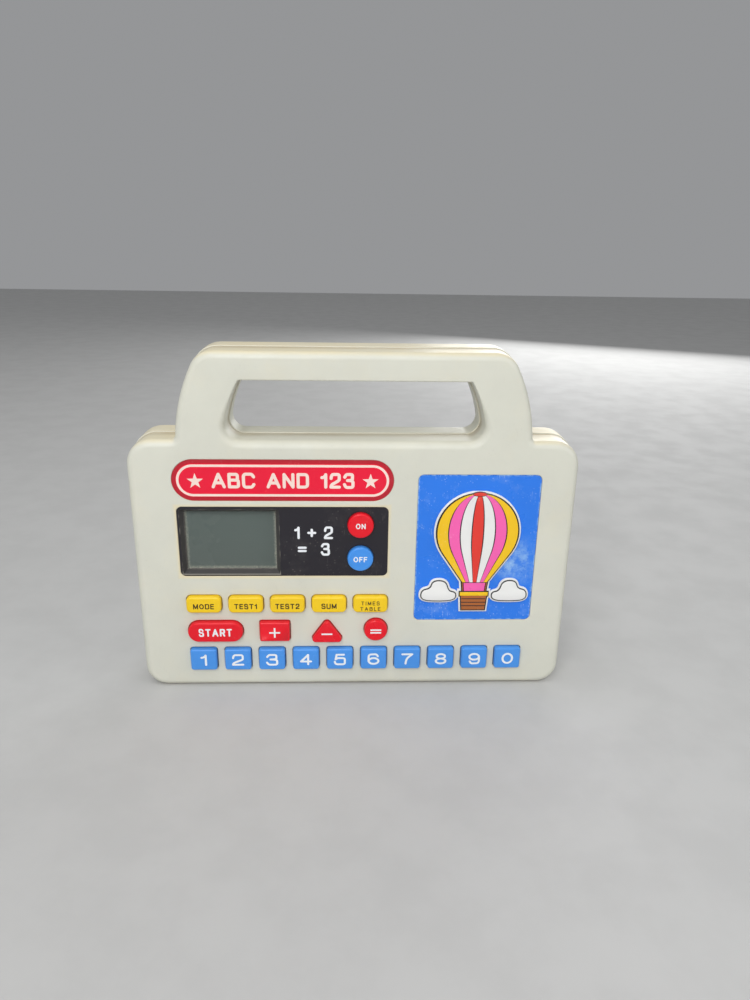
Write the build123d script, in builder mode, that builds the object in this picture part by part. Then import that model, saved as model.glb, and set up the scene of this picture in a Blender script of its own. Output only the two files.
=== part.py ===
from build123d import *

import os
from collections import namedtuple

os.makedirs("parts", exist_ok=True)

# A slab-shaped learning toy that stands on its bottom edge. X runs to the right, Z up, and the
# front faces -Y. The origin is the middle of the footprint, on the surface that it stands on.

# Casing, in millimetres
FACE_Y = -15.0  # front face
PARTING_Y = 3.0  # where the two shells meet
REAR_Y = 18.0  # rear face
BODY_HALF_WIDTH = 120.8
SHOULDER_Z = 148.3
BOTTOM_CORNER = 12.5
SHOULDER_CORNER = 14.0
HANDLE_FOOT_X = 94.6
HANDLE_SIDE = (90.4, 172.0)  # a point half-way up the handle's bowed side
HANDLE_TOP = (80.2, 194.7)
HANDLE_CORNER = 13.0
HANDLE_FOOT_FILLET = 2.0
HOLE_TOP = (60.2, 180.0)
HOLE_SIDE = (66.4, 165.5)
HOLE_BOTTOM = (69.4, 148.0)
HOLE_BOTTOM_CORNER = 8.0
HOLE_TOP_CORNER = 1.6
EDGE_ROUND = 4.0  # front edge of the face
HOLE_EDGE_ROUND = 2.6  # front edge of the hand hole
RIM_ROUND = 0.35  # rims of the recesses and the key openings
REAR_ROUND = 2.2
LIP = 0.6  # the rear shell stands this much proud of the front one
LIP_ROUND = 0.4
FACE_WALL = 2.5
SIDE_WALL = 2.2
REAR_SIDE_WALL = 3.2
TONGUE_GAP = 0.1
TONGUE_LENGTH = 1.8

# Keys
KEY_PROUD = 3.0
POWER_KEY_PROUD = 2.4
KEY_TRAVEL = 1.5
KEY_CLEARANCE = 0.3
KEY_FLANGE = 1.0  # how far the flange reaches past the cap
KEY_FLANGE_THICK = 1.3
KEY_EDGE_ROUND = 1.1

Key = namedtuple("Key", "name shape x z width height corner proud")
MODE_KEYS = [
    Key(name, "block", -84.4 + 23.35 * i, 53.9, 19.4, 9.8, 2.6, KEY_PROUD)
    for i, name in enumerate(["key_game", "key_test_1", "key_test_2", "key_sum", "key_table"])
]
RED_KEYS = [
    Key("key_start", "pill", -78.8, 36.6, 31.0, 12.4, 0, KEY_PROUD),
    Key("key_plus", "block", -45.3, 36.7, 17.0, 12.1, 0.9, KEY_PROUD),
    Key("key_minus", "triangle", -15.6, 37.0, 20.4, 14.6, 2.0, KEY_PROUD),
    Key("key_equals", "round", 12.3, 37.3, 13.2, 13.2, 0, KEY_PROUD),
]
DIGIT_KEYS = [
    Key(f"key_{(i + 1) % 10}", "block", -86.4 + 19.54 * i, 18.8, 15.0, 13.4, 1.5, KEY_PROUD)
    for i in range(10)
]
POWER_KEYS = [
    Key("key_on", "round", 3.1, 101.3, 14.3, 14.3, 0, POWER_KEY_PROUD),
    Key("key_off", "round", 3.1, 81.6, 14.3, 14.3, 0, POWER_KEY_PROUD),
]
ALL_KEYS = MODE_KEYS + RED_KEYS + DIGIT_KEYS + POWER_KEYS

# Title plate
TITLE_CENTRE = (-38.4, 126.6)
TITLE_SIZE = (118.5, 23.2)
TITLE_RECESS = 0.5
TITLE_BASE = 0.4
TITLE_PROUD = 0.4
TITLE_RIM = 2.3

# Black display panel with its bevelled window
PANEL_CENTRE = (-39.0, 91.05)
PANEL_SIZE = (114.6, 41.1)
PANEL_CORNER = 3.0
PANEL_RECESS = 1.6
PANEL_THICK = 1.2
PANEL_GAP = 0.15
WINDOW_CENTRE = (-68.2, 90.75)
WINDOW_SIZE = (53.8, 38.5)
BEVEL_INSET = 2.2
BEVEL_DEPTH = 3.8
BEVEL_WALL = 1.0
FUNNEL_GAP = 0.1

# Display stack behind the bevel
PANE_SIZE = (55.6, 39.5)
PANE_THICK = 1.0
CELL_FRONT_THICK = 1.1
CELL_REAR_SIZE = (54.0, 32.5)
CELL_REAR_THICK = 1.1
REFLECTOR_THICK = 0.3
CONTACT_STRIP = (52.0, 2.4)
FRAME_WALL = 2.0
FRAME_GAP = 0.3

# Picture panel
PICTURE_CENTRE = (67.5, 86.35)
PICTURE_SIZE = (67.2, 87.7)
PICTURE_CORNER = 3.3
PICTURE_RECESS = 0.9
SHEET_THICK = 0.4
RELIEF = 2.4  # how far the balloon and the clouds stand out of the sheet
BALLOON_RADIUS = 23.0
BALLOON_Z = 11.0  # heights here are from the panel's middle
BALLOON_SIDE = (18.6, -2.0)  # where its sides leave the round
BALLOON_MOUTH = (7.0, -19.0)
ROPE_END = (6.5, -27.0)
BASKET_SIZE = (15.0, 11.0)
BASKET_CORNER = 2.0
BASKET_Z = -31.0
CLOUD_SIZE = (20.0, 7.0)
CLOUD_CENTRE = (20.0, -27.0)
CLOUD_PUFF = 5.0
CLOUD_PUFF_Z = -23.5

# Board and rubber mats
BOARD_FRONT_Y = -6.8
BOARD_THICK = 1.6
BOARD_RIGHT = 105.0
BOARD_LOW = (7.0, 40.5)  # bottom and top of the wide strip
BOARD_TOP = 114.0
BOARD_UPPER_RIGHT = 28.0
MAT_THICK = 1.2
DOME_HEIGHT = 1.3
DOME_FOOT = 4.4
DOME_TOP = 3.0
DOME_POCKET = (2.6, 1.4)  # radius and depth of the hollow under a dome
BOARD_POSTS = [
    (-101.5, 11.5),
    (-101.5, 46.0),
    (-101.5, 66.0),
    (101.5, 11.5),
    (101.5, 36.0),
    (24.0, 66.5),
    (24.0, 109.0),
]
BOARD_POST_RADIUS = 2.6
RESISTOR_LIFT = 1.2
BOARD_SCREW = 1.25
BOARD_SCREW_HEAD = (2.4, 1.6)

# Case screws
CASE_POSTS = [(x * side, z) for x, z in ((110.0, 12.0), (108.0, 136.0), (79.5, 162.0)) for side in (-1, 1)]
FRONT_POST_RADIUS = 3.6
REAR_POST_RADIUS = 4.4
CASE_SCREW = 1.5
SCREW_HEAD = (3.0, 2.2)
SCREW_POCKET = (3.5, 8.0)
SCREW_GRIP = 9.0  # how far the screw bites into the front post
SCREW_FIT = 0.01

# Battery bay in the rear shell, with two cells side by side
CELL_RADIUS = 7.2
CELL_LENGTH = 50.5
CELL_HEAD = (2.7, 1.1)  # radius and height of the raised end
BAY_HALF_WIDTH = 29.0
BAY_LOW_Z = 22.0
BAY_HIGH_Z = 53.5
BAY_FLOOR_Y = 0.6
BAY_WALL = 2.5
BAY_FLOOR_THICK = 1.6
DOOR_HALF_WIDTH = 30.5
DOOR_LOW_Z = 20.5
DOOR_HIGH_Z = 55.0
DOOR_THICK = 2.0
DOOR_GAP = 0.3
DOOR_HOOKS = (-18.0, 18.0)
HOOK_WIDTH = 8.0
HOOK_THICK = 1.5
HOOK_REACH = 2.2  # how far a hook goes down behind the rear wall
HOOK_TOE = 2.0
HOOK_GAP = 0.4
HOOK_SIDE_GAP = 0.4
CONTACT_THICK = 0.4
SPRING_RADIUS = 3.6
SPRING_WIRE = 0.35

# Buzzer
BUZZER_CENTRE = (70.0, 88.0)
BUZZER_DISC_RADIUS = 13.5
BUZZER_CUP_RADIUS = 15.5
BUZZER_CUP_DEPTH = 6.0
BUZZER_CUP_FLOOR = 1.2
BUZZER_DISC_THICK = 0.5
GRILLE_HOLE = 1.1
LEAD_RADIUS = 0.6
LEAD_GAP = 0.3
LEAD_Y = 3.0
BATTERY_LEAD_REACH = 9.0  # how far the battery leads stand out beside the bay
BUZZER_LEAD_X = 20.0  # where the buzzer's leads meet the board

FACE_INNER_Y = FACE_Y + FACE_WALL
REAR_INNER_Y = REAR_Y - FACE_WALL
FLANGE_FRONT_Y = FACE_INNER_Y + KEY_CLEARANCE
FLANGE_REAR_Y = FLANGE_FRONT_Y + KEY_FLANGE_THICK
PANEL_FRONT_Y = FACE_Y + PANEL_RECESS - PANEL_THICK
PANE_FRONT_Y = PANEL_FRONT_Y + BEVEL_DEPTH
CELL_FRONT_Y = PANE_FRONT_Y + PANE_THICK
CELL_STEP_Y = CELL_FRONT_Y + CELL_FRONT_THICK
REFLECTOR_Y = CELL_STEP_Y + CELL_REAR_THICK
MAT_FRONT_Y = BOARD_FRONT_Y - MAT_THICK
BOARD_REAR_Y = BOARD_FRONT_Y + BOARD_THICK
SCREW_SEAT_Y = REAR_Y - SCREW_POCKET[1]
POST_JOIN_Y = PARTING_Y - TONGUE_GAP


def facing_front(y, x=0.0, z=0.0):
    """A drawing plane seen from the front, x to the right and z up; extruding comes forwards."""
    return Plane(origin=(x, y, z), x_dir=(1, 0, 0), z_dir=(0, -1, 0))


def facing_side(x, y, z, towards=1):
    """A drawing plane across the toy, y to its right; extruding goes along X, or back along it for -1."""
    return Plane(origin=(x, y, z), x_dir=(0, 1, 0), z_dir=(towards, 0, 0))


def grown(size, margin):
    """A width and a height with a margin added on every side."""
    return size[0] + 2 * margin, size[1] + 2 * margin


def write(piece, name):
    """Labels a finished piece and writes its STEP file."""
    piece.part.label = name
    export_step(piece.part, f"parts/{name}.step")


def mirrored(point):
    """The same point on the other side of the middle."""
    return (-point[0], point[1])


def corners_at(drawing, height):
    """A drawing's corners at one height, from the middle outwards."""
    level = drawing.vertices().filter_by_position(Axis.Y, height - 0.01, height + 0.01)
    return level.sort_by(lambda corner: abs(corner.X))


def casing_outline(inset):
    """The casing's outer outline, moved inwards by inset."""
    foot = (HANDLE_FOOT_X, SHOULDER_Z)
    with BuildSketch() as outline:
        with BuildLine():
            Polyline(
                mirrored(foot),
                (-BODY_HALF_WIDTH, SHOULDER_Z),
                (-BODY_HALF_WIDTH, 0),
                (BODY_HALF_WIDTH, 0),
                (BODY_HALF_WIDTH, SHOULDER_Z),
                foot,
            )
            ThreePointArc(foot, HANDLE_SIDE, HANDLE_TOP)
            Line(HANDLE_TOP, mirrored(HANDLE_TOP))
            ThreePointArc(mirrored(HANDLE_TOP), mirrored(HANDLE_SIDE), mirrored(foot))
        make_face()
        fillet(corners_at(outline, HANDLE_TOP[1]), HANDLE_CORNER)
        fillet(corners_at(outline, SHOULDER_Z)[:2], HANDLE_FOOT_FILLET)
        fillet(corners_at(outline, SHOULDER_Z)[-2:], SHOULDER_CORNER)
        fillet(corners_at(outline, 0), BOTTOM_CORNER)
        if inset:
            offset(amount=-inset)
    return outline.sketch


def hand_hole(inset):
    """The hand hole's outline, its walls moved outwards by inset, so that their material grows thinner."""
    with BuildSketch() as hole:
        with BuildLine():
            Line(mirrored(HOLE_TOP), HOLE_TOP)
            ThreePointArc(HOLE_TOP, HOLE_SIDE, HOLE_BOTTOM)
            Line(HOLE_BOTTOM, mirrored(HOLE_BOTTOM))
            ThreePointArc(mirrored(HOLE_BOTTOM), mirrored(HOLE_SIDE), mirrored(HOLE_TOP))
        make_face()
        fillet(corners_at(hole, HOLE_BOTTOM[1]), HOLE_BOTTOM_CORNER)
        fillet(corners_at(hole, HOLE_TOP[1]), HOLE_TOP_CORNER)
        if inset:
            offset(amount=inset)
    return hole.sketch


def casing_profile(inset=0.0):
    """Draws the casing's outline with its hand hole, all its walls moved inwards by inset."""
    add(casing_outline(inset))
    add(hand_hole(inset), mode=Mode.SUBTRACT)


def key_outline(key, grow=0.0):
    """A key's outline about its own centre, grown on every side."""
    if key.shape == "pill":
        SlotOverall(key.width + 2 * grow, key.height + 2 * grow)
    elif key.shape == "round":
        Circle(key.width / 2 + grow)
    elif key.shape == "triangle":
        half, low, high = key.width / 2, -key.height / 2, key.height / 2
        blank = Polygon((-half, low), (half, low), (0, high), align=None)
        fillet(blank.vertices(), key.corner)
        if grow:
            offset(amount=grow)
    else:
        RectangleRounded(key.width + 2 * grow, key.height + 2 * grow, key.corner + grow)


def cut_keys(keys, from_y, depth):
    """Cuts the openings that the keys slide in, forwards from from_y."""
    for key in keys:
        with BuildSketch(facing_front(from_y, key.x, key.z)) as opening:
            key_outline(key, KEY_CLEARANCE)
        extrude(opening.sketch, amount=depth, mode=Mode.SUBTRACT)


def posts(places, from_y, to_y, radius, mode=Mode.ADD):
    """Round posts, or holes, that run forwards from from_y to to_y."""
    with BuildSketch(facing_front(from_y)) as rounds:
        with Locations(*places):
            Circle(radius)
    extrude(rounds.sketch, amount=from_y - to_y, mode=mode)


# Front half of the case and of the handle
with BuildPart() as front_shell:
    with BuildSketch(facing_front(PARTING_Y)):
        casing_profile()
    extrude(amount=PARTING_Y - FACE_Y)
    face = front_shell.faces().sort_by(Axis.Y)[0]
    fillet(face.outer_wire().edges(), EDGE_ROUND)
    face = front_shell.faces().sort_by(Axis.Y)[0]
    fillet(face.inner_wires()[0].edges(), HOLE_EDGE_ROUND)
    with BuildSketch(facing_front(PARTING_Y)):
        casing_profile(SIDE_WALL)
    extrude(amount=PARTING_Y - FACE_INNER_Y, mode=Mode.SUBTRACT)
    posts(CASE_POSTS, POST_JOIN_Y, FACE_INNER_Y, FRONT_POST_RADIUS)
    posts(BOARD_POSTS, BOARD_FRONT_Y, FACE_INNER_Y, BOARD_POST_RADIUS)
    grip_end = PARTING_Y - SCREW_GRIP
    posts(CASE_POSTS, POST_JOIN_Y, grip_end, CASE_SCREW + SCREW_FIT, Mode.SUBTRACT)
    posts(BOARD_POSTS, BOARD_FRONT_Y, FACE_INNER_Y, BOARD_SCREW + SCREW_FIT, Mode.SUBTRACT)
    # Recesses for the title plate, the display panel and the picture
    with BuildSketch(facing_front(FACE_Y + TITLE_RECESS, *TITLE_CENTRE)):
        SlotOverall(*TITLE_SIZE)
    extrude(amount=TITLE_RECESS, mode=Mode.SUBTRACT)
    with BuildSketch(facing_front(FACE_Y + PANEL_RECESS, *PANEL_CENTRE)):
        RectangleRounded(*PANEL_SIZE, PANEL_CORNER)
    extrude(amount=PANEL_RECESS, mode=Mode.SUBTRACT)
    with BuildSketch(facing_front(FACE_Y + PICTURE_RECESS, *PICTURE_CENTRE)):
        RectangleRounded(*PICTURE_SIZE, PICTURE_CORNER)
    extrude(amount=PICTURE_RECESS, mode=Mode.SUBTRACT)
    # Openings for the bevelled window and the keys
    with BuildSketch(facing_front(FACE_INNER_Y, *WINDOW_CENTRE)):
        Rectangle(*grown(WINDOW_SIZE, FUNNEL_GAP))
    extrude(amount=FACE_WALL, mode=Mode.SUBTRACT)
    cut_keys(ALL_KEYS, FACE_INNER_Y, FACE_WALL)
    # Soften the rims of the recesses and openings, all below the hand hole
    face = front_shell.faces().sort_by(Axis.Y)[0]
    rims = [wire for wire in face.inner_wires() if wire.center().Z < SHOULDER_Z - EDGE_ROUND]
    fillet([edge for rim in rims for edge in rim.edges()], RIM_ROUND)
write(front_shell, "front_shell")

# Rear half of the case and of the handle, with the battery bay
with BuildPart() as rear_shell:
    with BuildSketch(facing_front(REAR_Y)):
        casing_profile(-LIP)
        # The two shells are flush underneath, so that the toy stands on both
        with Locations((0, -LIP / 2)):
            Rectangle(2 * BODY_HALF_WIDTH + 4 * LIP, LIP, mode=Mode.SUBTRACT)
    extrude(amount=REAR_Y - PARTING_Y)
    back = rear_shell.faces().sort_by(Axis.Y)[-1]
    fillet(back.edges(), REAR_ROUND)
    rim = rear_shell.faces().sort_by(Axis.Y)[0]
    fillet(rim.edges().sort_by(Axis.Z)[1:], LIP_ROUND)
    with BuildSketch(facing_front(REAR_INNER_Y)):
        casing_profile(REAR_SIDE_WALL)
    extrude(amount=REAR_INNER_Y - PARTING_Y, mode=Mode.SUBTRACT)
    # Tongue that centres the front shell
    with BuildSketch(facing_front(PARTING_Y)):
        casing_profile(SIDE_WALL + TONGUE_GAP)
    extrude(amount=TONGUE_LENGTH)
    with BuildSketch(facing_front(PARTING_Y)):
        casing_profile(REAR_SIDE_WALL)
    extrude(amount=TONGUE_LENGTH, mode=Mode.SUBTRACT)
    posts(CASE_POSTS, REAR_INNER_Y, PARTING_Y, REAR_POST_RADIUS)
    posts(CASE_POSTS, REAR_Y, SCREW_SEAT_Y, SCREW_POCKET[0], Mode.SUBTRACT)
    posts(CASE_POSTS, SCREW_SEAT_Y, PARTING_Y, CASE_SCREW + 0.2, Mode.SUBTRACT)
    # Battery bay: its box, then its hollow, the door's opening and the slots for the door's hooks
    bay_middle_z = (BAY_LOW_Z + BAY_HIGH_Z) / 2
    bay_height = BAY_HIGH_Z - BAY_LOW_Z
    with BuildSketch(facing_front(REAR_INNER_Y, 0, bay_middle_z)):
        Rectangle(2 * (BAY_HALF_WIDTH + BAY_WALL), bay_height + 2 * BAY_WALL)
    extrude(amount=REAR_INNER_Y - BAY_FLOOR_Y + BAY_FLOOR_THICK)
    with BuildSketch(facing_front(REAR_Y, 0, bay_middle_z)):
        Rectangle(2 * BAY_HALF_WIDTH, bay_height)
    extrude(amount=REAR_Y - BAY_FLOOR_Y, mode=Mode.SUBTRACT)
    with BuildSketch(facing_front(REAR_Y, 0, (DOOR_LOW_Z + DOOR_HIGH_Z) / 2)):
        Rectangle(2 * DOOR_HALF_WIDTH, DOOR_HIGH_Z - DOOR_LOW_Z)
    extrude(amount=DOOR_THICK + 0.2, mode=Mode.SUBTRACT)
    for x in DOOR_HOOKS:
        with BuildSketch(facing_front(REAR_INNER_Y, x, BAY_LOW_Z - BAY_WALL)):
            Rectangle(HOOK_WIDTH + 2 * HOOK_SIDE_GAP, 2 * BAY_WALL + 2.0)
        extrude(amount=HOOK_TOE + HOOK_GAP + 1.0, mode=Mode.SUBTRACT)
        with BuildSketch(facing_front(REAR_Y - DOOR_THICK, x, BAY_LOW_Z - BAY_WALL / 4)):
            Rectangle(HOOK_WIDTH + 2 * HOOK_SIDE_GAP, BAY_WALL / 2 + 0.6)
        extrude(amount=HOOK_TOE, mode=Mode.SUBTRACT)
    # Rib between the cells
    with BuildSketch(facing_front(BAY_FLOOR_Y + 3.0, 0, bay_middle_z)):
        Rectangle(36.0, 0.8)
    extrude(amount=3.0)
    # Holes for the battery leads
    for z in (bay_middle_z - CELL_RADIUS, bay_middle_z + CELL_RADIUS):
        with BuildSketch(facing_side(-BAY_HALF_WIDTH, LEAD_Y, z, towards=-1)):
            Circle(LEAD_RADIUS + LEAD_GAP)
        extrude(amount=2 * BAY_WALL, mode=Mode.SUBTRACT)
    # Thumb notch over the door
    with BuildSketch(facing_front(REAR_Y, 0, DOOR_HIGH_Z)):
        Circle(7.0)
    extrude(amount=1.0, mode=Mode.SUBTRACT)
    # Sound holes over the buzzer
    with BuildSketch(facing_front(REAR_Y, *BUZZER_CENTRE)):
        Circle(GRILLE_HOLE)
        with PolarLocations(4.2, 6):
            Circle(GRILLE_HOLE)
        with PolarLocations(8.4, 12):
            Circle(GRILLE_HOLE)
    extrude(amount=FACE_WALL, mode=Mode.SUBTRACT)
write(rear_shell, "rear_shell")

# Battery door, with two hooks that it turns on and a ribbed thumb grip
door_height = DOOR_HIGH_Z - DOOR_LOW_Z - 2 * DOOR_GAP
door_middle_z = (DOOR_LOW_Z + DOOR_HIGH_Z) / 2
hook_low_z = DOOR_LOW_Z + DOOR_GAP
hook_rear_y = REAR_INNER_Y - HOOK_GAP
with BuildPart() as battery_door:
    with BuildSketch(facing_front(REAR_Y, 0, door_middle_z)):
        Rectangle(2 * (DOOR_HALF_WIDTH - DOOR_GAP), door_height)
    extrude(amount=DOOR_THICK)
    for x in DOOR_HOOKS:
        with BuildSketch(facing_side(x - HOOK_WIDTH / 2, 0, 0)):
            Polygon(
                (REAR_Y - DOOR_THICK, hook_low_z),
                (REAR_Y - DOOR_THICK, hook_low_z + HOOK_THICK),
                (hook_rear_y - HOOK_TOE, hook_low_z + HOOK_THICK),
                (hook_rear_y - HOOK_TOE, DOOR_LOW_Z - HOOK_REACH),
                (hook_rear_y, DOOR_LOW_Z - HOOK_REACH),
                (hook_rear_y, hook_low_z),
                align=None,
            )
        extrude(amount=HOOK_WIDTH)
    with BuildSketch(facing_front(REAR_Y, 0, DOOR_HIGH_Z - 7.0)):
        with GridLocations(0, 2.0, 1, 4):
            Rectangle(16.0, 0.9)
    extrude(amount=0.6, mode=Mode.SUBTRACT)
write(battery_door, "battery_door")

# Title plate: a flat rim with a raised middle
with BuildPart() as title_plate:
    with BuildSketch(facing_front(FACE_Y + TITLE_RECESS, *TITLE_CENTRE)):
        SlotOverall(*grown(TITLE_SIZE, -PANEL_GAP))
    extrude(amount=TITLE_BASE)
    with BuildSketch(facing_front(FACE_Y + TITLE_RECESS - TITLE_BASE, *TITLE_CENTRE)):
        SlotOverall(*grown(TITLE_SIZE, -TITLE_RIM))
    extrude(amount=TITLE_PROUD)
write(title_plate, "title_plate")

# Display panel: a flat plate and the funnel that slopes down to the window
bevel_end = grown(WINDOW_SIZE, -BEVEL_INSET)
with BuildPart() as display_panel:
    with BuildSketch(facing_front(FACE_Y + PANEL_RECESS, *PANEL_CENTRE)):
        RectangleRounded(*grown(PANEL_SIZE, -PANEL_GAP), PANEL_CORNER - PANEL_GAP)
    extrude(amount=PANEL_THICK)
    with BuildSketch(facing_front(FACE_Y + PANEL_RECESS, *WINDOW_CENTRE)):
        Rectangle(*WINDOW_SIZE)
    with BuildSketch(facing_front(PANE_FRONT_Y, *WINDOW_CENTRE)):
        Rectangle(*grown(bevel_end, BEVEL_WALL))
    loft()
    with BuildSketch(facing_front(PANEL_FRONT_Y, *WINDOW_CENTRE)):
        Rectangle(*WINDOW_SIZE)
    with BuildSketch(facing_front(PANE_FRONT_Y, *WINDOW_CENTRE)):
        Rectangle(*bevel_end)
    loft(mode=Mode.SUBTRACT)
    cut_keys(POWER_KEYS, FACE_INNER_Y, FACE_WALL)
write(display_panel, "display_panel")

# Clear pane at the bottom of the bevel
with BuildPart() as display_window:
    with BuildSketch(facing_front(PANE_FRONT_Y + PANE_THICK, *WINDOW_CENTRE)):
        Rectangle(*PANE_SIZE)
    extrude(amount=PANE_THICK)
write(display_window, "display_window")

# Liquid crystal cell: two sheets of glass, the front one with ledges for the contacts
with BuildPart() as display_glass:
    with BuildSketch(facing_front(CELL_STEP_Y, *WINDOW_CENTRE)):
        Rectangle(*PANE_SIZE)
    extrude(amount=CELL_FRONT_THICK)
    with BuildSketch(facing_front(REFLECTOR_Y, *WINDOW_CENTRE)):
        Rectangle(*CELL_REAR_SIZE)
    extrude(amount=CELL_REAR_THICK)
write(display_glass, "display_glass")

with BuildPart() as display_reflector:
    with BuildSketch(facing_front(REFLECTOR_Y + REFLECTOR_THICK, *WINDOW_CENTRE)):
        Rectangle(*CELL_REAR_SIZE)
    extrude(amount=REFLECTOR_THICK)
write(display_reflector, "display_reflector")

# Two rubber strips that carry the signals from the board to the cell's ledges
ledge_z = (PANE_SIZE[1] + CELL_REAR_SIZE[1]) / 4
with BuildPart() as display_contacts:
    with BuildSketch(facing_front(BOARD_FRONT_Y, *WINDOW_CENTRE)):
        with Locations((0, ledge_z), (0, -ledge_z)):
            Rectangle(*CONTACT_STRIP)
    extrude(amount=BOARD_FRONT_Y - CELL_STEP_Y)
write(display_contacts, "display_contacts")

# Frame that holds the display stack on the board
frame_inner = grown(PANE_SIZE, FRAME_GAP)
with BuildPart() as display_frame:
    with BuildSketch(facing_front(BOARD_FRONT_Y, *WINDOW_CENTRE)):
        Rectangle(*grown(frame_inner, FRAME_WALL))
        Rectangle(*frame_inner, mode=Mode.SUBTRACT)
    extrude(amount=BOARD_FRONT_Y - PANE_FRONT_Y)
write(display_frame, "display_frame")

# Picture panel: a thin sheet formed out into a hot-air balloon between two clouds
with BuildPart() as picture_panel:
    sheet_back_y = FACE_Y + PICTURE_RECESS
    with BuildSketch(facing_front(sheet_back_y, *PICTURE_CENTRE)):
        RectangleRounded(*grown(PICTURE_SIZE, -PANEL_GAP), PICTURE_CORNER - PANEL_GAP)
    extrude(amount=SHEET_THICK)
    sheet_y = sheet_back_y - SHEET_THICK
    with BuildSketch(facing_front(sheet_y, *PICTURE_CENTRE)):
        with Locations((0, BALLOON_Z)):
            Circle(BALLOON_RADIUS)
        balloon_sides = [BALLOON_SIDE, BALLOON_MOUTH, ROPE_END]
        Polygon(balloon_sides + [mirrored(point) for point in reversed(balloon_sides)], align=None)
        with Locations((0, BASKET_Z)):
            RectangleRounded(*BASKET_SIZE, BASKET_CORNER)
        with Locations(CLOUD_CENTRE, mirrored(CLOUD_CENTRE)):
            SlotOverall(*CLOUD_SIZE)
        with Locations((CLOUD_CENTRE[0], CLOUD_PUFF_Z), (-CLOUD_CENTRE[0], CLOUD_PUFF_Z)):
            Circle(CLOUD_PUFF)
    extrude(amount=RELIEF)
write(picture_panel, "picture_panel")

# Keys: a cap, and a flange that stops it behind the face
for key in ALL_KEYS:
    with BuildPart() as key_piece:
        with BuildSketch(facing_front(FLANGE_FRONT_Y, key.x, key.z)):
            key_outline(key)
        extrude(amount=FLANGE_FRONT_Y - FACE_Y + key.proud)
        fillet(key_piece.faces().sort_by(Axis.Y)[0].edges(), KEY_EDGE_ROUND)
        with BuildSketch(facing_front(FLANGE_REAR_Y, key.x, key.z)):
            key_outline(key, KEY_FLANGE)
        extrude(amount=KEY_FLANGE_THICK)
    write(key_piece, key.name)

# Circuit board, an L that leaves the picture's back clear
with BuildPart() as circuit_board:
    with BuildSketch(facing_front(BOARD_REAR_Y)):
        Polygon(
            (-BOARD_RIGHT, BOARD_LOW[0]),
            (BOARD_RIGHT, BOARD_LOW[0]),
            (BOARD_RIGHT, BOARD_LOW[1]),
            (BOARD_UPPER_RIGHT, BOARD_LOW[1]),
            (BOARD_UPPER_RIGHT, BOARD_TOP),
            (-BOARD_RIGHT, BOARD_TOP),
            align=None,
        )
    extrude(amount=BOARD_THICK)
    posts(BOARD_POSTS, BOARD_REAR_Y, BOARD_FRONT_Y, BOARD_SCREW + 0.15, Mode.SUBTRACT)
write(circuit_board, "circuit_board")


def add_domes(keys):
    """A hollow rubber dome behind each key, on the front of the mat."""
    places = [(key.x, key.z) for key in keys]
    with BuildSketch(facing_front(MAT_FRONT_Y)) as feet:
        with Locations(*places):
            Circle(DOME_FOOT)
    extrude(feet.sketch, amount=DOME_HEIGHT, taper=45)
    posts(places, BOARD_FRONT_Y, BOARD_FRONT_Y - DOME_POCKET[1], DOME_POCKET[0], Mode.SUBTRACT)


with BuildPart() as key_mat:
    with BuildSketch(facing_front(BOARD_FRONT_Y)):
        Polygon((-97, 9.5), (98.5, 9.5), (98.5, 28.5), (22, 28.5), (22, 62), (-97, 62), align=None)
    extrude(amount=MAT_THICK)
    add_domes(MODE_KEYS + RED_KEYS + DIGIT_KEYS)
write(key_mat, "key_mat")

with BuildPart() as power_mat:
    with BuildSketch(facing_front(BOARD_FRONT_Y, POWER_KEYS[0].x, PANEL_CENTRE[1])):
        RectangleRounded(17.0, 40.0, 2.0)
    extrude(amount=MAT_THICK)
    add_domes(POWER_KEYS)
write(power_mat, "power_mat")

# Parts on the back of the board
with BuildPart() as processor_chip:
    with BuildSketch(facing_front(BOARD_REAR_Y + 2.6, -60, 90)):
        Rectangle(20, 14)
    extrude(amount=2.3)
    with BuildSketch(facing_front(BOARD_REAR_Y + 1.3, -60, 90)):
        with GridLocations(1.0, 0, 18, 1):
            Rectangle(0.4, 17.5)
    extrude(amount=1.3)
write(processor_chip, "processor_chip")

with BuildPart() as board_capacitors:
    posts([(-85, 74), (-76, 74), (12, 72)], BOARD_REAR_Y + 6.0, BOARD_REAR_Y, 2.5)
write(board_capacitors, "board_capacitors")

with BuildPart() as board_resistors:
    for i in range(6):
        x = -34 + 6.0 * i
        for radius, low_z, length in ((1.1, 76.0, 6.0), (0.3, 74.5, 9.0)):
            with BuildSketch(Plane(origin=(x, BOARD_REAR_Y + RESISTOR_LIFT, low_z))):
                Circle(radius)
            extrude(amount=length)
        posts([(x, 74.6), (x, 83.4)], BOARD_REAR_Y + RESISTOR_LIFT, BOARD_REAR_Y, 0.3)
write(board_resistors, "board_resistors")

# Screws, as groups of separate solids
with BuildPart() as case_screws:
    posts(CASE_POSTS, SCREW_SEAT_Y + SCREW_HEAD[1], SCREW_SEAT_Y, SCREW_HEAD[0])
    posts(CASE_POSTS, SCREW_SEAT_Y, grip_end + 0.5, CASE_SCREW)
    for angle in (0, 90):
        with BuildSketch(facing_front(SCREW_SEAT_Y + SCREW_HEAD[1])):
            with Locations(*CASE_POSTS):
                Rectangle(3.2, 0.8, rotation=angle)
        extrude(amount=1.2, mode=Mode.SUBTRACT)
write(case_screws, "case_screws")

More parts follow.
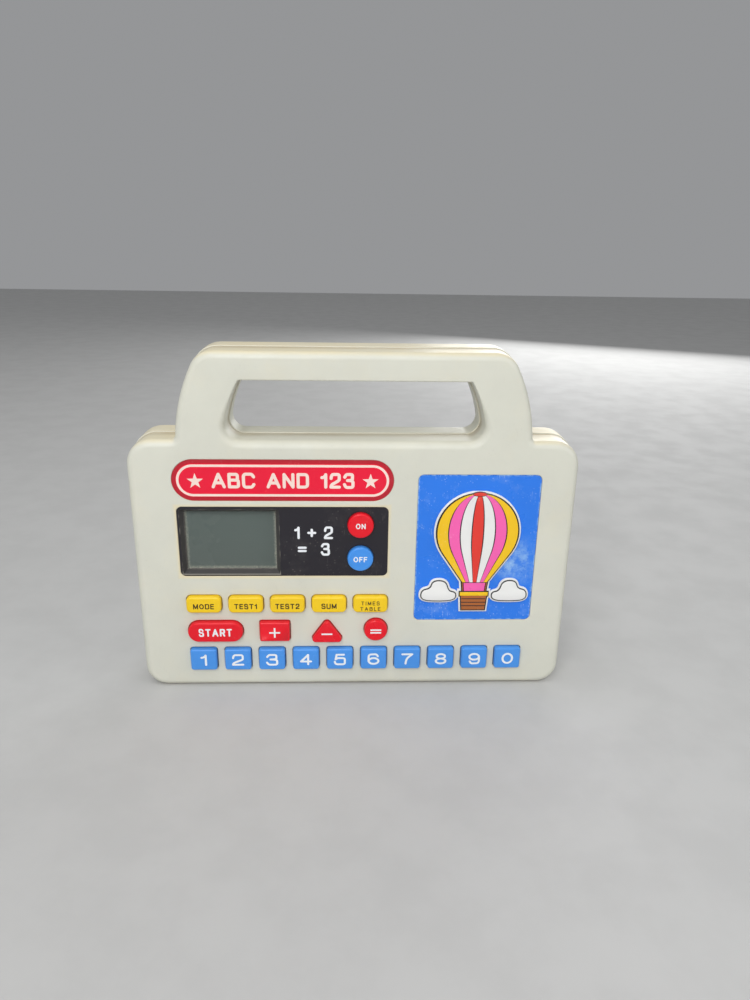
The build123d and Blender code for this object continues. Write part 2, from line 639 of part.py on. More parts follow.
with BuildPart() as board_screws:
    posts(BOARD_POSTS, BOARD_REAR_Y + BOARD_SCREW_HEAD[1], BOARD_REAR_Y, BOARD_SCREW_HEAD[0])
    posts(BOARD_POSTS, BOARD_REAR_Y, FACE_INNER_Y + 0.5, BOARD_SCREW)
    for angle in (0, 90):
        with BuildSketch(facing_front(BOARD_REAR_Y + BOARD_SCREW_HEAD[1])):
            with Locations(*BOARD_POSTS):
                Rectangle(2.6, 0.6, rotation=angle)
        extrude(amount=0.9, mode=Mode.SUBTRACT)
write(board_screws, "board_screws")

# Two cells, head to tail, with plates at both ends and a spring at each flat end
cell_y = BAY_FLOOR_Y + CELL_RADIUS + 0.15
cell_offset = CELL_RADIUS + 0.55
contact_x = BAY_HALF_WIDTH - CONTACT_THICK
with BuildPart() as battery_cells:
    for side in (-1, 1):
        head_x = -side * contact_x
        cell_z = bay_middle_z + side * cell_offset
        with BuildSketch(facing_side(head_x, cell_y, cell_z, towards=side)):
            Circle(CELL_HEAD[0])
        extrude(amount=CELL_LENGTH)
        with BuildSketch(facing_side(head_x + side * CELL_HEAD[1], cell_y, cell_z, towards=side)):
            Circle(CELL_RADIUS)
        extrude(amount=CELL_LENGTH - CELL_HEAD[1])
write(battery_cells, "battery_cells")

with BuildPart() as battery_contacts:
    for side in (-1, 1):
        with BuildSketch(facing_side(-BAY_HALF_WIDTH, cell_y, bay_middle_z + side * cell_offset)):
            Rectangle(12, 12)
        extrude(amount=CONTACT_THICK)
    with BuildSketch(facing_side(contact_x, cell_y, bay_middle_z)):
        Rectangle(12, 28)
    extrude(amount=CONTACT_THICK)
write(battery_contacts, "battery_contacts")

spring_room = 2 * contact_x - CELL_LENGTH
with BuildPart() as battery_springs:
    for side in (-1, 1):
        centre = Vector(side * contact_x, cell_y, bay_middle_z + side * cell_offset)
        inwards = Vector(-side, 0, 0)
        start = centre + inwards * (SPRING_WIRE + 0.05)
        with BuildLine() as coil:
            Helix(1.7, spring_room - 2 * SPRING_WIRE - 0.1, SPRING_RADIUS, center=start, direction=inwards)
        with BuildSketch(Plane(origin=coil.line @ 0, z_dir=coil.line % 0)):
            Circle(SPRING_WIRE)
        sweep(path=coil.line, is_frenet=True)
write(battery_springs, "battery_springs")

# Leads from the battery plates and the buzzer to the board
with BuildPart() as battery_leads:
    for z in (bay_middle_z - CELL_RADIUS, bay_middle_z + CELL_RADIUS):
        bend_x = -BAY_HALF_WIDTH - BATTERY_LEAD_REACH
        with BuildLine() as route:
            stops = [(-BAY_HALF_WIDTH, LEAD_Y, z), (bend_x, LEAD_Y, z), (bend_x, BOARD_REAR_Y, z)]
            FilletPolyline(stops, radius=3.5)
        with BuildSketch(Plane(origin=route.line @ 0, z_dir=route.line % 0)):
            Circle(LEAD_RADIUS)
        sweep(path=route.line)
write(battery_leads, "battery_leads")

cup_front_y = REAR_INNER_Y - BUZZER_CUP_DEPTH
disc_y = cup_front_y + BUZZER_CUP_FLOOR
with BuildPart() as buzzer_cup:
    posts([BUZZER_CENTRE], REAR_INNER_Y, cup_front_y, BUZZER_CUP_RADIUS)
    posts([BUZZER_CENTRE], REAR_INNER_Y, disc_y, BUZZER_DISC_RADIUS + 0.3, Mode.SUBTRACT)
    wire_holes = [(BUZZER_CENTRE[0] - 8.0, BUZZER_CENTRE[1] + dz) for dz in (-4.0, 4.0)]
    posts(wire_holes, disc_y, cup_front_y, LEAD_RADIUS + LEAD_GAP, Mode.SUBTRACT)
write(buzzer_cup, "buzzer_cup")

with BuildPart() as buzzer_disc:
    posts([BUZZER_CENTRE], disc_y + BUZZER_DISC_THICK, disc_y, BUZZER_DISC_RADIUS)
write(buzzer_disc, "buzzer_disc")

with BuildPart() as buzzer_leads:
    for x, z in wire_holes:
        with BuildLine() as route:
            across = [(x, disc_y, z), (x, LEAD_Y, z)]
            down = [(BUZZER_LEAD_X, LEAD_Y, z), (BUZZER_LEAD_X, BOARD_REAR_Y, z)]
            FilletPolyline(across + down, radius=3.0)
        with BuildSketch(Plane(origin=route.line @ 0, z_dir=route.line % 0)):
            Circle(LEAD_RADIUS)
        sweep(path=route.line)
write(buzzer_leads, "buzzer_leads")
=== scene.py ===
"""Dresses the toy learning computer: moulded shells, printed keys, display, title plate and picture."""

import logging
import math
from dataclasses import dataclass, field
from enum import Enum
from typing import Any, Callable, Iterable, Sequence

import bmesh
import bpy
from mathutils import Matrix, Vector
from mathutils.kdtree import KDTree


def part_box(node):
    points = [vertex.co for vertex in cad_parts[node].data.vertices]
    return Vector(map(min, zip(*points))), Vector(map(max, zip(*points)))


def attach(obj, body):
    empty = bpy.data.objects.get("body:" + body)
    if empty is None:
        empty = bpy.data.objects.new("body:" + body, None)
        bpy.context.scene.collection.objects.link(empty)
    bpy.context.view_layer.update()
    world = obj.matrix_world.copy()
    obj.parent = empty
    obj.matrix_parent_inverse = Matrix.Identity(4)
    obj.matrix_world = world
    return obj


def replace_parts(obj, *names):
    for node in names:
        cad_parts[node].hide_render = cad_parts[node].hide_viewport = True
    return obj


log = logging.getLogger("toy")
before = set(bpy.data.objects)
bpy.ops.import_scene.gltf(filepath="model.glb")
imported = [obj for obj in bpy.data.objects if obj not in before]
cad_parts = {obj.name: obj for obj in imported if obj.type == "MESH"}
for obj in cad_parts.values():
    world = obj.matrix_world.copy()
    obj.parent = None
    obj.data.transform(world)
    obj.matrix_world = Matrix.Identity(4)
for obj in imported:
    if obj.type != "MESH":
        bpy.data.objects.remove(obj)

MM = 0.001
CASE = "case"
DOOR = "door"
INK_LIFT = 0.00003  # a printed mark's front stands this far off its surface
SMOOTH_ANGLE = math.radians(32)

# Turns a flat drawing (x right, y up, z towards the viewer) to stand on the toy's front
TO_FRONT = Matrix(((1, 0, 0, 0), (0, 0, -1, 0), (0, 1, 0, 0), (0, 0, 0, 1)))

Colour = tuple[float, float, float]
Point = tuple[float, float]


# ---------------------------------------------------------------- node trees


class Tree:
    """Adds nodes and links to one node tree."""

    def __init__(self, tree: bpy.types.NodeTree) -> None:
        """Keeps the tree that the nodes go in."""
        self.tree = tree

    def add(self, kind: str, settings: dict[str, Any] | None = None, **inputs: Any) -> bpy.types.Node:
        """Adds a node.

        Args:
            kind: the node's type, without the leading ShaderNode.
            settings: the node's own properties.
            inputs: values or output sockets by input name, with _ for a space.

        Returns:
            The new node.
        """
        node = self.tree.nodes.new("ShaderNode" + kind)
        for name, value in (settings or {}).items():
            setattr(node, name, value)
        for name, value in inputs.items():
            self.feed(node.inputs[name.replace("_", " ")], value)
        return node

    def feed(self, socket: bpy.types.NodeSocket, value: Any) -> None:
        """Links an output socket to an input, or sets the input's value."""
        if isinstance(value, bpy.types.NodeSocket):
            self.tree.links.new(value, socket)
        elif socket.type == "RGBA" and len(value) == 3:
            socket.default_value = (*value, 1.0)
        else:
            socket.default_value = value

    def maths(
        self, operation: str, first: Any, second: Any = 0.0, clamp: bool = False
    ) -> bpy.types.NodeSocket:
        """Does one sum on numbers or sockets and returns its output."""
        node = self.add("Math", {"operation": operation, "use_clamp": clamp})
        self.feed(node.inputs[0], first)
        self.feed(node.inputs[1], second)
        return node.outputs[0]

    def mix(self, share: Any, first: Any, second: Any, blend: str = "MIX") -> bpy.types.NodeSocket:
        """Mixes two colours and returns the result's socket."""
        node = self.add("Mix", {"data_type": "RGBA", "blend_type": blend, "clamp_factor": True})
        self.feed(node.inputs[0], share)
        self.feed(node.inputs[6], first)
        self.feed(node.inputs[7], second)
        return node.outputs[2]

    def ramp(
        self, value: Any, low: float, high: float, to_low: float = 0.0, to_high: float = 1.0
    ) -> bpy.types.NodeSocket:
        """Maps a value from low..high onto to_low..to_high, held at both ends, and returns its socket."""
        node = self.add("MapRange", {"interpolation_type": "SMOOTHSTEP"})
        for socket, number in zip(node.inputs, (value, low, high, to_low, to_high)):
            self.feed(socket, number)
        return node.outputs[0]

    def noise(
        self, place: Any, scale: Any, detail: float = 3.0, rough: float = 0.55
    ) -> bpy.types.NodeSocket:
        """A noise at a place, in turns per metre, and its value's socket."""
        node = self.add("TexNoise", Vector=place, Scale=scale, Detail=detail, Roughness=rough)
        return node.outputs["Fac"]


_groups: dict[str, bpy.types.NodeTree] = {}
_materials: dict[str, bpy.types.Material] = {}


def node_group(
    name: str, inputs: Sequence[tuple[str, str, Any]], outputs: Sequence[tuple[str, str]]
) -> tuple[Tree, Any, Any]:
    """Starts a shader node group.

    Args:
        name: the group's name.
        inputs: name, kind (Float or Color) and default of each input.
        outputs: name and kind of each output.

    Returns:
        The group's tree, its input node and its output node.
    """
    group = bpy.data.node_groups.new(name, "ShaderNodeTree")
    for label, kind, default in inputs:
        socket = group.interface.new_socket(label, in_out="INPUT", socket_type="NodeSocket" + kind)
        socket.default_value = (*default, 1.0) if kind == "Color" else default
    for label, kind in outputs:
        group.interface.new_socket(label, in_out="OUTPUT", socket_type="NodeSocket" + kind)
    _groups[name] = group
    tree = Tree(group)
    return tree, group.nodes.new("NodeGroupInput"), group.nodes.new("NodeGroupOutput")


def moulded_surface() -> bpy.types.NodeTree:
    """The group for a moulded part's skin: fine grain, slow flow marks and handled, greasier patches.

    Returns:
        The group, with outputs Height, Roughness and Patch.
    """
    if "moulded_surface" in _groups:
        return _groups["moulded_surface"]
    tree, given, out = node_group(
        "moulded_surface",
        [("Grain", "Float", 2500.0), ("Smooth", "Float", 0.3), ("Rough", "Float", 0.5)],
        [("Height", "Float"), ("Roughness", "Float"), ("Patch", "Float")],
    )
    place = tree.add("TexCoord").outputs["Object"]
    grain = tree.noise(place, given.outputs["Grain"], 2.0, 0.5)
    flow = tree.noise(place, 90.0, 2.0)
    patch = tree.noise(place, 24.0, 4.0, 0.6)
    height = tree.maths("ADD", tree.maths("MULTIPLY", grain, 0.35), tree.maths("MULTIPLY", flow, 0.65))
    share = tree.ramp(patch, 0.35, 0.68)
    rough = tree.add("Mix", {"data_type": "FLOAT"})
    tree.feed(rough.inputs[0], share)
    tree.feed(rough.inputs[2], given.outputs["Smooth"])
    tree.feed(rough.inputs[3], given.outputs["Rough"])
    tree.feed(out.inputs["Height"], height)
    tree.feed(out.inputs["Roughness"], rough.outputs[0])
    tree.feed(out.inputs["Patch"], share)
    return _groups["moulded_surface"]


def scuff_marks() -> bpy.types.NodeTree:
    """The group for scuffs: scattered specks and hair scratches that come in patches.

    Returns:
        The group, with outputs Colour and Mask.
    """
    if "scuff_marks" in _groups:
        return _groups["scuff_marks"]
    tree, given, out = node_group(
        "scuff_marks",
        [
            ("Base", "Color", (0.5, 0.5, 0.5)),
            ("Mark", "Color", (1, 1, 1)),
            ("Amount", "Float", 0.3),
            ("Scale", "Float", 400.0),
        ],
        [("Colour", "Color"), ("Mask", "Float")],
    )
    place = tree.add("TexCoord").outputs["Object"]
    warped = tree.add("Mapping", Vector=place, Rotation=(0.0, 0.6, 0.0), Scale=(1.0, 1.0, 0.12))
    specks = tree.add("TexVoronoi", Vector=place, Scale=given.outputs["Scale"])
    speck = tree.ramp(specks.outputs["Distance"], 0.26, 0.12)
    hairs = tree.noise(warped.outputs["Vector"], tree.maths("MULTIPLY", given.outputs["Scale"], 2.2), 1.0)
    hair = tree.ramp(hairs, 0.69, 0.76)
    where = tree.noise(place, tree.maths("MULTIPLY", given.outputs["Scale"], 0.11), 4.0, 0.7)
    shown = tree.ramp(where, 0.46, 0.66)
    marks = tree.maths("MULTIPLY", tree.maths("MAXIMUM", speck, hair), shown)
    haze = tree.maths("MULTIPLY", tree.ramp(where, 0.52, 0.78), 0.35)
    mask = tree.maths("MULTIPLY", tree.maths("MAXIMUM", marks, haze), given.outputs["Amount"], clamp=True)
    tree.feed(out.inputs["Mask"], mask)
    tree.feed(out.inputs["Colour"], tree.mix(mask, given.outputs["Base"], given.outputs["Mark"]))
    return _groups["scuff_marks"]


def outside_of(
    tree: Tree, at: bpy.types.Node, centre: Sequence[float], half: Sequence[float]
) -> bpy.types.NodeSocket:
    """How far a point of the front is outside an upright rectangle, less than zero inside it.

    Args:
        tree: the material's tree.
        at: the node that splits the place into X, Y and Z.
        centre: the rectangle's middle, in X and Z.
        half: half its width and half its height.

    Returns:
        The distance's socket.
    """
    gaps = []
    for axis, middle, reach in zip("XZ", centre, half):
        offset = tree.maths("ABSOLUTE", tree.maths("SUBTRACT", at.outputs[axis], middle))
        gaps.append(tree.maths("SUBTRACT", offset, reach))
    return tree.maths("MAXIMUM", *gaps)


# ---------------------------------------------------------------- finishes


@dataclass(frozen=True)
class Finish:
    """A finish of one material: its name, colour and how rough it is, from handled to untouched."""

    name: str
    colour: Colour
    smooth: float = 0.32
    rough: float = 0.46
    metallic: float = 0.0
    grain: float = 2500.0
    bump: float = 0.05
    scuff: Colour = (0.9, 0.9, 0.9)
    scuffed: float = 0.12
    scuff_scale: float = 420.0
    coat: float = 0.0
    shine: float = 0.36

    def material(self) -> bpy.types.Material:
        """The material, built the first time that it's asked for."""
        if self.name in _materials:
            return _materials[self.name]
        made = bpy.data.materials.new(self.name)
        _materials[self.name] = made
        made.use_nodes = True
        made.diffuse_color = (*self.colour, 1.0)
        tree = Tree(made.node_tree)
        shader = made.node_tree.nodes["Principled BSDF"]
        shader.inputs["Metallic"].default_value = self.metallic
        shader.inputs["Coat Weight"].default_value = self.coat
        shader.inputs["Specular IOR Level"].default_value = self.shine
        skin = tree.add(
            "Group",
            {"node_tree": moulded_surface()},
            Grain=self.grain,
            Smooth=self.smooth,
            Rough=self.rough,
        )
        colour = self.paint(tree, skin)
        marks = tree.add(
            "Group", {
                "node_tree": scuff_marks()
            }, Base=colour, Mark=self.scuff, Amount=self.scuffed, Scale=self.scuff_scale
        )
        tree.feed(shader.inputs["Base Color"], marks.outputs["Colour"])
        dull = tree.maths("MULTIPLY", marks.outputs["Mask"], 0.35)
        tree.feed(
            shader.inputs["Roughness"], tree.maths("ADD", skin.outputs["Roughness"], dull, clamp=True)
        )
        bump = tree.add("Bump", Strength=self.bump, Distance=0.0004, Height=skin.outputs["Height"])
        tree.feed(shader.inputs["Normal"], bump.outputs["Normal"])
        self.finish_shader(tree, shader)
        return made

    def paint(self, tree: Tree, skin: bpy.types.Node) -> Any:
        """The colour before scuffs: the plain colour, a little deeper in handled patches.

        Args:
            tree: the material's tree.
            skin: the moulded surface group's node.

        Returns:
            A colour socket.
        """
        deeper = tuple(0.9 * c for c in self.colour)
        return tree.mix(tree.maths("MULTIPLY", skin.outputs["Patch"], 0.5), self.colour, deeper)

    def finish_shader(self, tree: Tree, shader: bpy.types.Node) -> None:
        """Sets what only some finishes have."""


@dataclass(frozen=True)
class AgedIvory(Finish):
    """Ivory shell plastic: yellowed on top, with a painted highlight round the fascia, and painted shade with
    some dirt along the shells' joint and in hollows.
    """

    yellowed: Colour = (0.80, 0.71, 0.48)
    # painted shade with some dirt, used beside the joint and in hollows
    shade_and_dirt: Colour = (0.42, 0.33, 0.20)
    # painted highlight, a pale cream rim round the fascia
    painted_highlight: Colour = (0.80, 0.68, 0.40)
    joint_y: float = 0.003
    band: float = 0.009
    hole_half: float = 0.074
    hole_top: float = 0.184
    hole_foot: float = 0.138
    fascia_centre: Point = (-0.0390, 0.09105)
    fascia_half: Point = (0.0573, 0.02055)

    def paint(self, tree: Tree, skin: bpy.types.Node) -> Any:
        """Ivory, yellowed on surfaces that face up, with painted shade and some dirt beside the joint and in
        hollows, and a painted highlight round the fascia.

        Args:
            tree: the material's tree.
            skin: the moulded surface group's node.

        Returns:
            A colour socket.
        """
        where = tree.add("TexCoord")
        place = where.outputs["Object"]
        facing = tree.add("SeparateXYZ", Vector=where.outputs["Normal"])
        at = tree.add("SeparateXYZ", Vector=place)
        base = Finish.paint(self, tree, skin)
        blotch = tree.noise(place, 34.0, 4.0, 0.65)
        upward = tree.ramp(facing.outputs["Z"], 0.40, 0.98)
        beside = tree.ramp(
            tree.maths("ABSOLUTE", at.outputs["X"]), self.hole_half - 0.001, self.hole_half + 0.001
        )
        above = tree.ramp(at.outputs["Z"], self.hole_top - 0.001, self.hole_top + 0.001)
        below = tree.ramp(at.outputs["Z"], self.hole_foot + 0.001, self.hole_foot - 0.001)
        outside = tree.maths("MAXIMUM", beside, tree.maths("MAXIMUM", above, below))
        upward = tree.maths(
            "MULTIPLY", upward, tree.maths("ADD", 0.15, tree.maths("MULTIPLY", outside, 0.85))
        )
        aged = tree.maths("MULTIPLY", upward, tree.ramp(blotch, 0.25, 0.75, 0.55, 0.95))
        slow = tree.maths("MULTIPLY", tree.ramp(blotch, 0.45, 0.75), 0.14)
        base = tree.mix(tree.maths("MAXIMUM", aged, slow), base, self.yellowed)
        # Painted shade with some dirt: darker brown on the walls just in front of the shells' joint, where the
        # rear shell's step shades them.
        near = tree.ramp(at.outputs["Y"], self.joint_y - self.band, self.joint_y - 0.3 * self.band)
        far = tree.ramp(at.outputs["Y"], self.joint_y + 0.0001, self.joint_y + 0.0006, 1.0, 0.0)
        sideways = tree.maths("SUBTRACT", 1.0, tree.maths("ABSOLUTE", facing.outputs["Y"]), clamp=True)
        band = tree.maths(
            "MULTIPLY", tree.maths("MULTIPLY", near, far), tree.maths("MULTIPLY", sideways, 0.55)
        )
        base = tree.mix(
            tree.maths("MULTIPLY", band, tree.ramp(blotch, 0.2, 0.7, 0.5, 1.0)), base, self.shade_and_dirt
        )
        # Painted highlight: a thin pale cream rim on the shell round the fascia, on the front only.
        edge = outside_of(tree, at, self.fascia_centre, self.fascia_half)
        highlight_share = tree.maths("MULTIPLY", tree.ramp(edge, 0.0021, 0.0003), tree.ramp(edge, -0.0012, -0.0002))
        highlight_share = tree.maths("MULTIPLY", highlight_share, tree.ramp(at.outputs["Y"], -0.0120, -0.0135))
        base = tree.mix(tree.maths("MULTIPLY", highlight_share, 0.55), base, self.painted_highlight)
        # Painted shade with some dirt: darker brown in hollows and creases, from ambient occlusion.
        hollow = tree.add("AmbientOcclusion", {"samples": 8}, Distance=0.0020)
        deep = tree.maths("MULTIPLY", tree.ramp(hollow.outputs["AO"], 0.72, 0.30), 0.7)
        return tree.mix(deep, base, self.shade_and_dirt)


@dataclass(frozen=True)
class Fascia(Finish):
    """Black fascia plastic with dust caught along the edges of the window's bevel."""

    dust: Colour = (0.42, 0.40, 0.34)
    low: Point = (-0.0951, 0.0715)
    high: Point = (-0.0413, 0.1100)
    inset: float = 0.0022
    line: float = 0.0005

    def paint(self, tree: Tree, skin: bpy.types.Node) -> Any:
        """Black, with broken dusty lines round the window.

        Args:
            tree: the material's tree.
            skin: the moulded surface group's node.

        Returns:
            A colour socket.
        """
        place = tree.add("TexCoord").outputs["Object"]
        at = tree.add("SeparateXYZ", Vector=place)
        base = Finish.paint(self, tree, skin)
        centre = [(a + b) / 2 for a, b in zip(self.low, self.high)]
        half = [(b - a) / 2 for a, b in zip(self.low, self.high)]
        edge = outside_of(tree, at, centre, half)
        rim = tree.ramp(tree.maths("ABSOLUTE", edge), 0.7 * self.line, 0.2 * self.line)
        foot = tree.ramp(
            tree.maths("ABSOLUTE", tree.maths("ADD", edge, self.inset)), 1.5 * self.line, 0.2 * self.line
        )
        broken = tree.ramp(tree.noise(place, 1500.0, 5.0, 0.8), 0.40, 0.70, 0.15, 1.0)
        faint = tree.ramp(tree.noise(place, 150.0, 3.0), 0.45, 0.65, 0.0, 0.5)
        low_side = tree.ramp(at.outputs["Z"], self.low[1] + 0.003, self.low[1] + 0.0008)
        faint = tree.maths("MAXIMUM", faint, tree.maths("MULTIPLY", low_side, 0.75))
        dusty = tree.maths(
            "MAXIMUM", tree.maths("MULTIPLY", foot, broken), tree.maths("MULTIPLY", rim, faint)
        )
        inside = tree.ramp(edge, 0.0003, -0.0003)
        film = tree.maths("MULTIPLY", inside, 0.10)
        return tree.mix(tree.maths("MAXIMUM", tree.maths("MULTIPLY", dusty, 0.8), film), base, self.dust)


@dataclass(frozen=True)
class ClearPane(Finish):
    """Clear plastic that light passes through."""

    def finish_shader(self, tree: Tree, shader: bpy.types.Node) -> None:
        """Lets light through, and lets nearly all of it reach the cell behind."""
        shader.inputs["Transmission Weight"].default_value = 1.0
        shader.inputs["IOR"].default_value = 1.45
        shaded = tree.add("LightPath").outputs["Is Shadow Ray"]
        tree.feed(shader.inputs["Alpha"], tree.maths("SUBTRACT", 1.0, tree.maths("MULTIPLY", shaded, 0.92)))


@dataclass(frozen=True)
class CrystalCell(Finish):
    """A switched-off liquid crystal cell: grey-green, with dust at its edges."""

    pale: Colour = (0.235, 0.28, 0.26)
    dust: Colour = (0.70, 0.68, 0.58)
    low: Point = (-0.0929, 0.0737)
    high: Point = (-0.0435, 0.1078)

    def paint(self, tree: Tree, skin: bpy.types.Node) -> Any:
        """Grey-green with a slow gradient and dusty edges.

        Args:
            tree: the material's tree.
            skin: the moulded surface group's node; not used.

        Returns:
            A colour socket.
        """
        place = tree.add("TexCoord").outputs["Object"]
        at = tree.add("SeparateXYZ", Vector=place)
        base = tree.mix(tree.ramp(at.outputs["Z"], self.high[1], self.low[1]), self.colour, self.pale)
        sides = [
            tree.maths("SUBTRACT", at.outputs["X"], self.low[0]),
            tree.maths("SUBTRACT", self.high[0], at.outputs["X"]),
            tree.maths("SUBTRACT", at.outputs["Z"], self.low[1]),
            tree.maths("MULTIPLY", tree.maths("SUBTRACT", self.high[1], at.outputs["Z"]), 3.0),
        ]
        nearest = sides[0]
        for side in sides[1:]:
            nearest = tree.maths("MINIMUM", nearest, side)
        ragged = tree.maths("MULTIPLY", tree.noise(place, 1100.0, 5.0, 0.8), 0.0030)
        edge = tree.ramp(tree.maths("SUBTRACT", nearest, ragged), 0.0002, -0.0012)
        grit = tree.ramp(tree.noise(place, 2600.0, 2.0), 0.42, 0.60, 0.25, 1.0)
        return tree.mix(tree.maths("MULTIPLY", edge, tree.maths("MULTIPLY", grit, 0.85)), base, self.dust)


@dataclass(frozen=True)
class WornSheet(Finish):
    """The picture's printed ground, rubbed pale along its edges, and paler in one hazy, streaky patch at the
    right.
    """

    pale: Colour = (0.38, 0.62, 0.90)
    centre: Point = (0.0675, 0.08635)
    half: Point = (0.0336, 0.04385)
    patch: Point = (0.0905, 0.0790)
    patch_size: float = 0.020

    def paint(self, tree: Tree, skin: bpy.types.Node) -> Any:
        """The ground colour, with its rubbed edges and patch.

        Args:
            tree: the material's tree.
            skin: the moulded surface group's node.

        Returns:
            A colour socket.
        """
        place = tree.add("TexCoord").outputs["Object"]
        at = tree.add("SeparateXYZ", Vector=place)
        edge = outside_of(tree, at, self.centre, self.half)
        rubbed = tree.maths(
            "MULTIPLY",
            tree.ramp(edge, -0.0012, -0.0001),
            tree.ramp(tree.noise(place, 260.0, 4.0, 0.7), 0.42, 0.62),
        )
        aside = tree.maths("SUBTRACT", at.outputs["X"], self.patch[0])
        above = tree.maths("SUBTRACT", at.outputs["Z"], self.patch[1])
        away = tree.maths(
            "SQRT",
            tree.maths("ADD", tree.maths("MULTIPLY", aside, aside), tree.maths("MULTIPLY", above, above)),
        )
        streaks = tree.ramp(tree.noise(place, 190.0, 6.0, 0.75), 0.40, 0.68, 0.1, 1.0)
        haze = tree.maths(
            "MULTIPLY", tree.maths("MULTIPLY", tree.ramp(away, self.patch_size, 0.0), streaks), 0.75
        )
        return tree.mix(
            tree.maths("MAXIMUM", tree.maths("MULTIPLY", rubbed, 0.8), haze),
            Finish.paint(self, tree, skin),
            self.pale,
        )


@dataclass(frozen=True)
class CircuitGreen(Finish):
    """Solder mask over copper tracks."""

    track: Colour = (0.03, 0.20, 0.08)

    def paint(self, tree: Tree, skin: bpy.types.Node) -> Any:
        """Green, with tracks as a brick pattern's joints.

        Args:
            tree: the material's tree.
            skin: the moulded surface group's node; not used.

        Returns:
            A colour socket.
        """
        turned = tree.add(
            "Mapping", Vector=tree.add("TexCoord").outputs["Object"], Rotation=(math.pi / 2, 0.0, 0.0)
        )
        bricks = tree.add("TexBrick", Vector=turned.outputs["Vector"], Scale=110.0, Mortar_Size=0.03)
        return tree.mix(bricks.outputs["Fac"], self.colour, self.track)


IVORY = AgedIvory(
    "aged_ivory",
    (0.69, 0.69, 0.60),
    smooth=0.34,
    rough=0.48,
    bump=0.08,
    scuff=(0.42, 0.38, 0.30),
    scuffed=0.10,
)
TITLE_RED = Finish(
    "title_red",
    (0.86, 0.006, 0.040),
    smooth=0.32,
    rough=0.42,
    bump=0.03,
    scuff=(0.95, 0.5, 0.5),
    scuffed=0.04,
)
TITLE_RIM = Finish("title_rim_red", (0.50, 0.012, 0.028), smooth=0.34, rough=0.44, bump=0.03, scuffed=0.04)
WARM_WHITE = Finish(
    "warm_white_print", (0.97, 0.76, 0.68), smooth=0.40, rough=0.52, bump=0.02, scuff=(0.7, 0.45, 0.4)
)
RED_KEY = Finish(
    "red_keycap", (0.82, 0.007, 0.020), smooth=0.26, rough=0.38, scuff=(0.9, 0.3, 0.3), scuffed=0.08
)
YELLOW_KEY = Finish(
    "yellow_keycap", (0.93, 0.62, 0.014), smooth=0.26, rough=0.38, scuff=(0.55, 0.36, 0.10), scuffed=0.14
)
BLUE_KEY = Finish(
    "blue_keycap", (0.070, 0.305, 0.82), smooth=0.26, rough=0.38, scuff=(0.4, 0.55, 0.8), scuffed=0.08
)
BRIGHT_BLUE_KEY = Finish(
    "bright_blue_keycap", (0.060, 0.30, 0.84), smooth=0.26, rough=0.38, scuff=(0.4, 0.6, 0.9), scuffed=0.08
)
KEY_WHITE = Finish(
    "white_key_print",
    (0.86, 0.89, 0.92),
    smooth=0.40,
    rough=0.50,
    bump=0.02,
    scuff=(0.5, 0.6, 0.7),
    scuffed=0.06,
)
KEY_BLACK = Finish(
    "dark_key_print",
    (0.030, 0.016, 0.008),
    smooth=0.40,
    rough=0.55,
    bump=0.02,
    scuff=(0.5, 0.33, 0.05),
    scuffed=0.20,
)
BLACK = Fascia(
    "black_fascia",
    (0.018, 0.016, 0.022),
    smooth=0.34,
    rough=0.46,
    bump=0.05,
    scuff=(0.30, 0.27, 0.24),
    scuffed=0.20,
)
DARK = Finish("dark_moulding", (0.03, 0.03, 0.032), smooth=0.45, rough=0.6)
PANE = ClearPane("clear_pane", (0.86, 0.90, 0.88), smooth=0.02, rough=0.045, bump=0.01, scuffed=0.0)
CELL = CrystalCell(
    "crystal_cell",
    (0.245, 0.30, 0.28),
    smooth=0.18,
    rough=0.30,
    bump=0.01,
    scuff=(0.4, 0.4, 0.36),
    scuffed=0.10,
)
FOIL = Finish("reflector_foil", (0.6, 0.6, 0.58), metallic=1.0)
RUBBER = Finish("grey_rubber", (0.16, 0.16, 0.165), smooth=0.6, rough=0.75)
SHEET_BLUE = WornSheet(
    "printed_blue", (
        0.026, 0.205, 0.84
    ), smooth=0.20, rough=0.34, bump=0.05, scuff=(0.60, 0.78, 0.95), scuffed=0.5, scuff_scale=620.0
)
BOARD = CircuitGreen("circuit_green", (0.02, 0.11, 0.045), smooth=0.25, rough=0.4)
SLEEVE = Finish("capacitor_sleeve", (0.02, 0.05, 0.22), smooth=0.2, rough=0.3)
RESISTOR = Finish("resistor_body", (0.55, 0.42, 0.24), smooth=0.35, rough=0.5)
BRASS = Finish("brass_disc", (0.72, 0.52, 0.20), smooth=0.25, rough=0.4, metallic=1.0)
JACKET = Finish("cell_jacket", (0.05, 0.05, 0.06), smooth=0.2, rough=0.32)
STEEL = Finish(
    "plated_steel",
    (0.58, 0.58, 0.60),
    smooth=0.22,
    rough=0.36,
    metallic=1.0,
    scuff=(0.3, 0.22, 0.15),
    scuffed=0.2,
)
WIRE = Finish("wire_cover", (0.45, 0.03, 0.03), smooth=0.35, rough=0.5)

